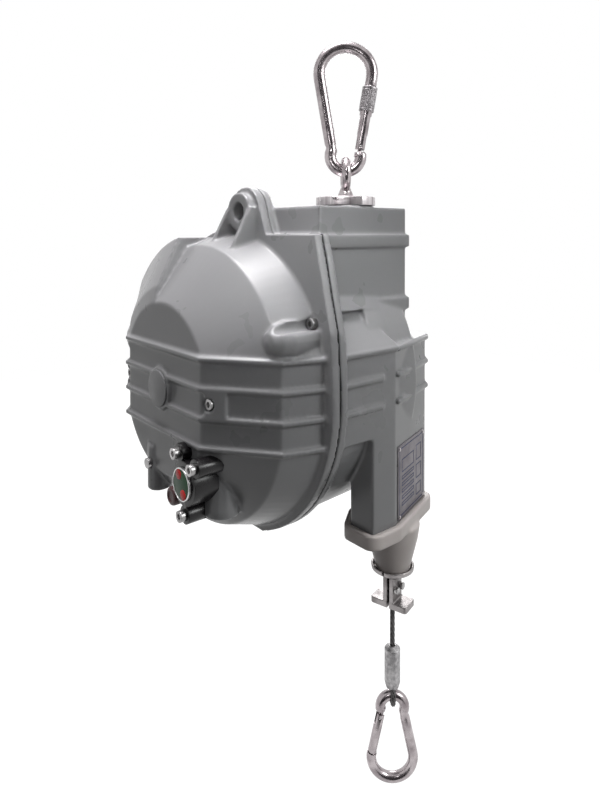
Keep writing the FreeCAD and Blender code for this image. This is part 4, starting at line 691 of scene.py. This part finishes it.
    def bent_rod(self, name: str, stations: Sequence[Station], sides: int) -> bpy.types.Object:
        """Draw a rod along a line in the upright plane, ring by ring.

        Args:
            name: Name of the piece.
            stations: Rings from end to end.
            sides: Faces round the rod.

        Returns:
            The rod, closed at both ends.
        """
        spots = [Vector((ring.right, 0.0, ring.up)) for ring in stations]
        leans = []
        for number in range(len(spots)):
            run = spots[min(number + 1, len(spots) - 1)] - spots[max(number - 1, 0)]
            leans.append(math.atan2(run.x, run.z))
        piece = self.ring(name, sides, stations[0].radius, spots[0], leans[0])
        bpy.ops.mesh.edge_face_add()
        for number in range(1, len(spots)):
            self.draw_out(tuple(spots[number] - spots[number - 1]))
            turn = (leans[number] - leans[number - 1] + math.pi) % math.tau - math.pi
            bpy.ops.transform.rotate(value=-turn, orient_axis="Y", center_override=spots[number])
            share = stations[number].radius / stations[number - 1].radius
            bpy.ops.transform.resize(value=(share, share, share), center_override=spots[number])
        bpy.ops.mesh.edge_face_add()
        self.face_outwards()
        return piece

    def stand(self, piece: bpy.types.Object, place: Matrix) -> None:
        """Move a piece for good, so that its object stays at the origin."""
        piece.matrix_world = place
        self.solo(piece)
        bpy.ops.object.transform_apply(location=True, rotation=True, scale=True)

    def hand_over(
        self, piece: bpy.types.Object, body: str, slot: str, nodes: Sequence[str] = (),
        finish: str | None = None, crease: float | None = None,
    ) -> None:
        """Shade, dress and mount a finished piece.

        Args:
            piece: The piece.
            body: Body that it rides on, or nothing where it stretches between two.
            slot: The record's material slot.
            nodes: CAD nodes that it stands for.
            finish: Finish if it differs from the slot's own.
            crease: Edges under this angle are shaded smooth.
        """
        self.solo(piece)
        bpy.ops.object.shade_smooth_by_angle(angle=crease or self.crease)
        if crease == ALL_SMOOTH:
            self.modify(piece, "WEIGHTED_NORMAL", mode="FACE_AREA", weight=50, keep_sharp=True)
        self.finishes.dress(piece, slot, finish)
        if body:
            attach(piece, body)
        if nodes:
            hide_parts(*nodes)
        LOG.info("piece %s rides %s, %d faces", piece.name, body or "two bodies", len(piece.data.polygons))


@dataclass
class Castings:
    """Housing halves, ribs of the slanted face, funnel and the fittings that stay with them."""

    bench: Bench
    grid: float = 1.5 * MM
    rounds: int = 2
    rib: float = 2.7 * MM
    slant_start: Pair = (0.0592, 0.0105)
    slant_end: Pair = (0.0341, 0.0855)
    slant_levels: tuple[float, ...] = (-0.1345, -0.1592, -0.1848)

    def slant_rib(self, name: str, level: float) -> bpy.types.Object:
        """Lay one round-backed rib along the slanted face of the rear block.

        Args:
            name: Name of the rib.
            level: Height of its middle.

        Returns:
            The rib, half sunk in the face.
        """
        start, end = Vector((*self.slant_start, level)), Vector((*self.slant_end, level))
        run = end - start
        nose = [
            (self.rib * math.sin(math.radians(turn)), self.rib * (1.0 - math.cos(math.radians(turn))))
            for turn in (20.0, 45.0, 68.0, 90.0)
        ]
        tail = [(radius, run.length - height) for radius, height in reversed(nose)]
        piece = self.bench.turned(name, [*nose, *tail], 24)
        self.bench.stand(piece, Matrix.Translation(start) @ run.to_track_quat("Z", "Y").to_matrix().to_4x4())
        return piece

    def build(self) -> None:
        """Make the housing's pieces."""
        bench = self.bench
        for node, name in (("front_cover", "front_casting"), ("rear_housing", "rear_casting")):
            half = bench.cast_copy(node, name, self.grid, self.rounds)
            bench.hand_over(half, "housing", "cast_paint", (node,), crease=ALL_SMOOTH)
        for number, level in enumerate(self.slant_levels, start=1):
            bench.hand_over(self.slant_rib(f"slant_rib_{number}", level), "housing", "cast_paint")
        funnel = bench.cast_copy("rope_bumper", "rope_funnel", 1.1 * MM, 8)
        bench.hand_over(funnel, "housing", "bumper_plastic", ("rope_bumper",), crease=ALL_SMOOTH)
        plate = bench.bevelled("suspension_plate", "round_seat_plate", 0.7 * MM, 3)
        bench.hand_over(plate, "housing", "plate_steel", ("suspension_plate",))
        cap = bench.bevelled("axle_cap", "front_axle_cap", 0.5 * MM, 3)
        bench.hand_over(cap, "housing", "cap_metal", ("axle_cap",))
        for node in ("cover_screws", "side_screws", "lock_screws", "stub_screw"):
            screw = bench.bevelled(node, f"{node}_turned", 0.35 * MM, 2, 50.0)
            bench.hand_over(screw, "housing", "screw_steel", (node,))


@dataclass
class LockDial:
    """Dial plate with a bright edge, green face and two red marks, its black ring and the knob."""

    bench: Bench
    middle: Point = (-0.028, -0.168, -0.243)
    radius: float = 14.5 * MM
    height: float = 3.0 * MM
    mark_radius: float = 4.7 * MM
    mark_right: float = 4.0 * MM
    mark_up: float = 8.2 * MM
    knob_middle: Point = (-0.054, -0.157, -0.263)
    knob_radius: float = 8.5 * MM
    knob_height: float = 10.0 * MM
    knob_sides: int = 48
    knob_face_degrees: float = 7.5

    def facing(self, spot: Point) -> Matrix:
        """Place that turns a piece's top towards the front."""
        return Matrix.Translation(spot) @ Matrix.Rotation(math.radians(90.0), 4, "X")

    def build(self) -> None:
        """Make the dial's pieces."""
        bench = self.bench
        ring = bench.bevelled("lock_ring", "lobed_ring", 0.6 * MM, 3)
        bench.hand_over(ring, "housing", "ring_black", ("lock_ring",))
        edge = self.radius
        body = bench.turned("dial_body", [
            (edge - 0.4 * MM, 0.0),
            (edge, 0.4 * MM),
            (edge, self.height - 0.5 * MM),
            (edge - 0.5 * MM, self.height),
            (edge - 1.1 * MM, self.height),
            (edge - 1.4 * MM, self.height - 0.6 * MM),
        ], 64)
        bench.stand(body, self.facing(self.middle))
        bench.hand_over(body, "housing", "dial_green", ("lock_plate",), finish="dial_edge")
        face = bench.turned("dial_face", [
            (edge - 1.5 * MM, self.height - 0.7 * MM),
            (edge - 1.6 * MM, self.height - 0.3 * MM),
            (edge - 1.9 * MM, self.height - 0.2 * MM),
        ], 64)
        bench.stand(face, self.facing(self.middle))
        bench.hand_over(face, "housing", "dial_green")
        for number, sign in enumerate((1.0, -1.0), start=1):
            mark = bench.turned(f"dial_mark_{number}", [
                (self.mark_radius, self.height - 0.5 * MM),
                (self.mark_radius, self.height - 0.1 * MM),
                (self.mark_radius - 0.3 * MM, self.height),
            ], 32)
            spot = Vector(self.middle) + Vector((-sign * self.mark_right, 0.0, sign * self.mark_up))
            bench.stand(mark, self.facing(spot))
            bench.hand_over(mark, "housing", "dial_green", finish="mark_red")
        rim = self.knob_radius
        knob = bench.turned("lock_handle", [
            (rim - 1.6 * MM, 0.0),
            (rim - 0.3 * MM, 0.8 * MM),
            (rim, 2.0 * MM),
            (rim, self.knob_height - 2.2 * MM),
            (rim - 0.6 * MM, self.knob_height - 0.8 * MM),
            (rim - 2.0 * MM, self.knob_height),
            (rim - 3.4 * MM, self.knob_height),
            (rim - 3.9 * MM, self.knob_height - 0.8 * MM),
            (1.2 * MM, self.knob_height - 0.8 * MM),
        ], self.knob_sides)
        self.flute(knob)
        bench.stand(knob, self.facing(self.knob_middle))
        bench.hand_over(knob, "drum_lock", "knob_dark", ("lock_knob",))

    def flute(self, knob: bpy.types.Object) -> None:
        """Press finger flutes into every third face of the knob's rim."""
        low, high = 2.1 * MM, self.knob_height - 2.3 * MM

        def fluted(face: bpy.types.MeshPolygon) -> bool:
            """Whether a face lies on the rim and is the third of its three."""
            turn = math.degrees(math.atan2(face.center.y, face.center.x))
            step = round(turn / self.knob_face_degrees - 0.5)
            return low < face.center.z < high and abs(face.normal.z) < 0.1 and step % 3 == 0

        self.bench.inset_faces(knob, fluted, 0.15 * MM, -0.45 * MM)


@dataclass
class SnapHook:
    """Snap hook of bent rod with forged knuckles beside its small end, and its gate.

    A knuckle ring is its reach along the gate and its thickness, as shares of the rod.
    """

    bench: Bench
    prefix: str
    body: str
    gate_body: str
    rest: Point
    flip: bool
    rod: float
    height: float
    wide: float
    narrow: float
    bulb: float
    gate_low: float
    gate_high: float
    sides: int = 24
    knuckle_rings: tuple[Pair, ...] = ((0.5, 0.3), (-1.1, 0.36), (-1.15, 0.8), (-1.32, 0.98))
    bulb_steps: int = 18
    bulb_end_degrees: float = -200.0
    neck: float = 0.84
    shoulder: float = 0.97
    bow_steps: int = 24
    bow_slack: float = 0.02 * MM

    def line(self) -> list[Station]:
        """Rings of the body from the gate's pin round the small end, up the back and round to the nose."""
        rod = self.rod
        high = self.height - 2.0 * rod - self.wide
        lean = math.asin((self.wide - self.narrow) / (high - self.narrow))
        foot = self.narrow * math.cos(lean)
        foot_up = self.narrow * (1.0 - math.sin(lean))

        def arm(level: float) -> float:
            """Distance of the straight arm from the hook's middle."""
            return foot + (level - foot_up) * math.tan(lean)

        pin_right, pin_up = arm(self.gate_low), self.gate_low
        tilt_right, tilt_up = math.sin(lean), math.cos(lean)
        rings = [
            Station(pin_right + reach * rod * tilt_right, pin_up + reach * rod * tilt_up, thick * rod)
            for reach, thick in self.knuckle_rings
        ]
        begin = math.degrees(math.asin((pin_up - 1.6 * rod - self.bulb) / self.bulb))
        for step in range(self.bulb_steps + 1):
            turn = math.radians(begin + (self.bulb_end_degrees - begin) * step / self.bulb_steps)
            rings.append(Station(self.bulb * math.cos(turn), self.bulb * (1.0 + math.sin(turn)), rod))
        knuckle = self.bulb * 1.6
        rings.append(Station(-arm(knuckle) * 0.99, knuckle, rod * self.neck))
        rings.append(Station(-arm(knuckle + 0.55 * rod), knuckle + 0.55 * rod, rod * self.shoulder))
        top_up = high - self.wide * math.sin(lean)
        for share in (0.25, 0.5, 0.75, 1.0):
            level = knuckle + 0.7 * rod + (top_up - knuckle - 0.7 * rod) * share
            rings.append(Station(-arm(level), level, rod * (self.shoulder + (1.0 - self.shoulder) * share)))
        sweep = math.pi + 2.0 * lean
        for step in range(1, self.bow_steps):
            turn = math.pi + lean - sweep * step / self.bow_steps
            right, up = self.wide * math.cos(turn), high + self.wide * math.sin(turn)
            rings.append(Station(right, up, rod - self.bow_slack))
        for share in (0.0, 0.5, 1.0):
            level = top_up + (self.gate_high - top_up) * share
            rings.append(Station(arm(level), level, rod))
        return rings

    def place(self) -> Matrix:
        """Place of the hook's own plane in the row frame."""
        tilt = Matrix.Rotation(math.pi, 4, "Y") if self.flip else Matrix.Identity(4)
        return Matrix.Translation(self.rest) @ Matrix.Rotation(EYE_TURN, 4, "Z") @ tilt

    def build(self) -> None:
        """Make the hook's pieces."""
        bench = self.bench
        body = bench.bent_rod(f"{self.prefix}_forged_hook", self.line(), self.sides)
        bench.round_off(body, 0.9 * MM, 3, 60.0)
        bench.stand(body, self.place())
        bench.hand_over(body, self.body, "hook_steel", (f"{self.prefix}_hook",))
        gate = bench.bevelled(f"{self.prefix}_gate", f"{self.prefix}_gate_rod", 0.5 * MM, 2)
        bench.hand_over(gate, self.gate_body, "hook_steel", (f"{self.prefix}_gate",))


@dataclass
class KnurledSleeve:
    """Screw sleeve of the hanging hook: bright tube with a raised knurl between two collars."""

    bench: Bench
    length: float = 25.0 * MM
    radius: float = 7.6 * MM
    bore: float = 6.3 * MM
    lean: float = math.asin(14.0 / 85.0)
    crease: float = math.radians(20.0)
    sides: int = 40
    rows: int = 10

    def build(self) -> None:
        """Make the sleeve."""
        half, rim = self.length / 2.0, self.radius
        end = half - 3.4 * MM
        band = [(rim - 0.3 * MM, end * (2.0 * row / self.rows - 1.0)) for row in range(self.rows + 1)]
        profile = [
            (rim - 0.6 * MM, -half),
            (rim, 0.6 * MM - half),
            (rim, 2.4 * MM - half),
            (rim - 0.5 * MM, 2.8 * MM - half),
            *band,
            (rim - 0.5 * MM, half - 2.8 * MM),
            (rim, half - 2.4 * MM),
            (rim, half - 0.6 * MM),
            (rim - 0.6 * MM, half),
            (self.bore, half),
            (self.bore, -half),
            (rim - 0.6 * MM, -half),
        ]
        sleeve = self.bench.turned("knurled_sleeve", profile, self.sides, closed=True)

        def knurled(face: bpy.types.MeshPolygon) -> bool:
            """Whether a face lies on the outside between the collars."""
            reach = math.hypot(face.center.x, face.center.y)
            return reach > rim - 0.5 * MM and abs(face.center.z) < half - 3.5 * MM

        self.bench.inset_faces(sleeve, knurled, 0.22 * MM, 0.28 * MM)
        low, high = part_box("top_sleeve")
        place = Matrix.Translation((low + high) / 2.0) @ Matrix.Rotation(EYE_TURN, 4, "Z")
        self.bench.stand(sleeve, place @ Matrix.Rotation(self.lean, 4, "Y"))
        self.bench.hand_over(sleeve, "lock_sleeve", "sleeve_steel", ("top_sleeve",), crease=self.crease)


@dataclass
class SwivelEye:
    """Forged eye with its neck run into the ring."""

    bench: Bench

    def build(self) -> None:
        """Make the eye."""
        eye = self.bench.cast_copy("eye_bolt", "forged_eye", 0.7 * MM, 8)
        self.bench.hand_over(eye, "swivel_eye", "hook_steel", ("eye_bolt",), crease=ALL_SMOOTH)


@dataclass
class RopeEnd:
    """Laid rope with its loop, the two clamp castings, their screws and the ferrule."""

    bench: Bench
    strands: int = 6
    lay: float = 34.0 * MM
    loop_radius: float = 8.0 * MM
    loop_drop: float = 8.0 * MM
    loop_steps: int = 24
    strand_share: float = 0.36
    strand_sides: int = 8
    rope_rings: int = 64
    haul_rings: int = 120
    loop_rings: int = 44
    crease: float = math.radians(60.0)

    @staticmethod
    def twist(turn: float) -> None:
        """Turn what is selected about the upright axis."""
        bpy.ops.transform.rotate(value=turn, orient_axis="Z", center_override=(0.0, 0.0, 0.0))

    def laid(self, name: str, radius: float, length: float, steps: int) -> bpy.types.Object:
        """Lay strands round each other along the upright axis, from the origin up.

        Args:
            name: Name of the rope.
            radius: Outside radius.
            length: Length of the rope.
            steps: Rings along the rope.

        Returns:
            The rope.
        """
        strand = radius * self.strand_share
        rope = self.bench.ring(name, self.strand_sides, strand, (radius - strand, 0.0, 0.0))
        for _ in range(self.strands - 1):
            bpy.ops.mesh.duplicate()
            self.twist(math.tau / self.strands)
        bpy.ops.mesh.select_all(action="SELECT")
        rise = length / steps
        for _ in range(steps):
            self.bench.draw_out((0.0, 0.0, rise))
            self.twist(math.tau * rise / self.lay)
        self.bench.face_outwards()
        return rope

    def haul(self, radius: float) -> None:
        """Lay the stretch of rope that runs out of the housing as the load goes down."""
        low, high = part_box("rope_run")
        rope = self.laid("hauled_rope", radius, high.z - low.z, self.haul_rings)
        self.bench.stand(rope, Matrix.Translation((ROPE_AXIS.x, ROPE_AXIS.y, low.z)))
        self.bench.hand_over(rope, "", "rope_steel", ("rope_run",), crease=self.crease)
        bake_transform(rope)

    def loop_line(self, radius: float) -> list[Point]:
        """Points of the loop from the ferrule down one side, round the bottom and back up."""
        inlet = radius + 0.6 * MM
        top = self.loop_drop
        reach = math.hypot(inlet, top)
        touch = math.atan2(top, -inlet) + math.acos(self.loop_radius / reach)
        points = []
        left = (self.loop_radius * math.cos(touch), self.loop_radius * math.sin(touch))
        for share in (-0.25, 0.0, 0.3, 0.6):
            points.append((0.0, -inlet + (left[0] + inlet) * share, top + (left[1] - top) * share))
        sweep = 2.0 * (1.5 * math.pi - touch)
        for step in range(self.loop_steps + 1):
            turn = touch + sweep * step / self.loop_steps
            points.append((0.0, self.loop_radius * math.cos(turn), self.loop_radius * math.sin(turn)))
        for _, side, up in reversed(points[:4]):
            points.append((0.0, -side, up))
        return points

    def loop(self, radius: float, low: float) -> bpy.types.Object:
        """Bend a laid rope round the loop's line.

        Args:
            radius: Radius of the rope.
            low: Lowest level of the node that it stands for.

        Returns:
            The loop in the row frame.
        """
        points = self.loop_line(radius)
        length = sum((Vector(b) - Vector(a)).length for a, b in zip(points, points[1:]))
        rope = self.laid("laid_loop", radius, length, self.loop_rings)
        guide_data = bpy.data.curves.new("loop_guide", "CURVE")
        guide_data.dimensions = "3D"
        spline = guide_data.splines.new("POLY")
        spline.points.add(len(points) - 1)
        for point, spot in zip(spline.points, points):
            point.co = (*spot, 1.0)
        guide = bpy.data.objects.new("loop_guide", guide_data)
        bpy.context.scene.collection.objects.link(guide)
        self.bench.modify(rope, "CURVE", object=guide, deform_axis="POS_Z")
        bpy.data.objects.remove(guide)
        lift = low + self.loop_radius + radius
        place = Matrix.Translation((ROPE_AXIS.x, ROPE_AXIS.y, lift)) @ Matrix.Rotation(EYE_TURN, 4, "Z")
        self.bench.stand(rope, place)
        return rope

    def build(self) -> None:
        """Make the rope end's pieces."""
        bench = self.bench
        low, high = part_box("rope_lower")
        radius = (high.x - low.x) / 2.0
        rope = self.laid("laid_rope", radius, high.z - low.z, self.rope_rings)
        bench.stand(rope, Matrix.Translation((ROPE_AXIS.x, ROPE_AXIS.y, low.z)))
        bench.hand_over(rope, "rope_end", "rope_steel", ("rope_lower",), crease=self.crease)
        self.haul(radius)
        loop = self.loop(radius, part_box("rope_loop")[0].z)
        bench.hand_over(loop, "rope_end", "rope_steel", ("rope_loop",), crease=self.crease)
        for node in ("clamp_half_left", "clamp_half_right"):
            half = bench.cast_copy(node, f"{node}_casting", 0.55 * MM, 4)
            bench.hand_over(half, "rope_end", "clamp_metal", (node,), crease=ALL_SMOOTH)
        screws = bench.bevelled("clamp_screws", "clamp_socket_screws", 0.3 * MM, 2, 50.0)
        bench.hand_over(screws, "rope_end", "screw_steel", ("clamp_screws",))
        ferrule = bench.bevelled("ferrule", "pressed_ferrule", 0.5 * MM, 3, 25.0)
        bench.hand_over(ferrule, "rope_end", "ferrule_metal", ("ferrule",))


@dataclass
class TypePlate:
    """Bare sheet with a printed border and empty ruled fields, held by four rivets."""

    bench: Bench
    ink: float = 0.12 * MM
    line: float = 0.9 * MM
    size: Pair = (68.0 * MM, 71.0 * MM)
    corner: Point = (0.05803, 0.014, -0.3)
    end: Point = (0.03627, 0.07843, -0.3)
    fields: tuple[tuple[float, float, float, float], ...] = (
        (0.04, 0.04, 0.92, 0.92),
        (0.13, 0.62, 0.46, 0.18),
        *((0.13, 0.52 - 0.09 * row, 0.46, 0.05) for row in range(5)),
        (0.68, 0.62, 0.2, 0.22),
        (0.68, 0.36, 0.2, 0.2),
        (0.68, 0.12, 0.2, 0.16),
    )

    def face(self) -> Matrix:
        """Place whose X runs along the sheet's front, Y up it and Z out of it."""
        along = (Vector(self.end) - Vector(self.corner)).normalized()
        up = Vector((0.0, 0.0, 1.0))
        turn = Matrix((along, up, along.cross(up))).transposed().to_4x4()
        return Matrix.Translation(self.corner) @ turn

    def outline(self, name: str, box: tuple[float, float, float, float]) -> bpy.types.Object:
        """Print the outline of one field as a thin raised line.

        Args:
            name: Name of the piece.
            box: Left and lower edge, width and height as shares of the sheet.

        Returns:
            The line, standing on the sheet.
        """
        wide, high = box[2] * self.size[0], box[3] * self.size[1]
        middle = ((box[0] + box[2] / 2.0) * self.size[0], (box[1] + box[3] / 2.0) * self.size[1], 0.0)
        clear_selection()
        bpy.ops.mesh.primitive_plane_add(size=1.0)
        piece = bpy.context.object
        piece.name = name
        self.bench.edit(piece, Element.FACE)
        bpy.ops.transform.resize(value=(wide, high, 1.0), center_override=(0.0, 0.0, 0.0))
        bpy.ops.mesh.inset(thickness=self.line)
        bpy.ops.mesh.delete(type="FACE")
        bpy.ops.mesh.select_all(action="SELECT")
        bpy.ops.mesh.extrude_region_move(TRANSFORM_OT_translate={"value": (0.0, 0.0, self.ink)})
        self.bench.face_outwards()
        self.bench.stand(piece, self.face() @ Matrix.Translation(middle))
        return piece

    def build(self) -> None:
        """Make the plate, its print and its rivets."""
        sheet = self.bench.bevelled("type_plate", "riveted_sheet", 0.25 * MM, 2)
        self.bench.hand_over(sheet, "housing", "plate_sheet", ("type_plate",))
        for number, box in enumerate(self.fields, start=1):
            outline = self.outline(f"printed_field_{number}", box)
            self.bench.hand_over(outline, "housing", "plate_sheet", finish="field_ink")
        rivets = self.bench.bevelled("plate_rivets", "sheet_rivets", 0.3 * MM, 2, 30.0)
        self.bench.hand_over(rivets, "housing", "plate_steel", ("plate_rivets",))


def dress_nodes(finishes: Finishes) -> None:
    """Give every CAD node the finish of its slot."""
    slots = {part["node"]: part["material_slot"] for part in frame["record"]["subparts"]}
    for name, node in frame["nodes"].items():
        finishes.dress(node, slots[name])


def main() -> None:
    """Build the scene in order."""
    logging.basicConfig(level=logging.INFO)
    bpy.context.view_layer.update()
    clear_selection()
    Studio().build()
    finishes = Finishes()
    finishes.build()
    bench = Bench(finishes)
    sections = [
        Castings(bench),
        LockDial(bench),
        SwivelEye(bench),
        KnurledSleeve(bench),
        SnapHook(
            bench, prefix="top", body="hanging_hook", gate_body="hanging_gate", rest=(0.0, 0.0, 36.7 * MM),
            flip=False, rod=6.0 * MM, height=136.0 * MM, wide=26.5 * MM, narrow=12.5 * MM, bulb=15.2 * MM,
            gate_low=25.0 * MM, gate_high=85.0 * MM,
        ),
        SnapHook(
            bench, prefix="bottom", body="load_hook", gate_body="load_gate",
            rest=(*ROPE_AXIS.xy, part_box("bottom_hook")[1].z - 5.0 * MM),
            flip=True, rod=5.0 * MM, height=94.0 * MM, wide=21.0 * MM, narrow=9.5 * MM, bulb=12.2 * MM,
            gate_low=21.0 * MM, gate_high=58.0 * MM,
        ),
        RopeEnd(bench),
        TypePlate(bench),
    ]
    for section in sections:
        section.build()
    dress_nodes(finishes)


if __name__ == "__main__":
    main()
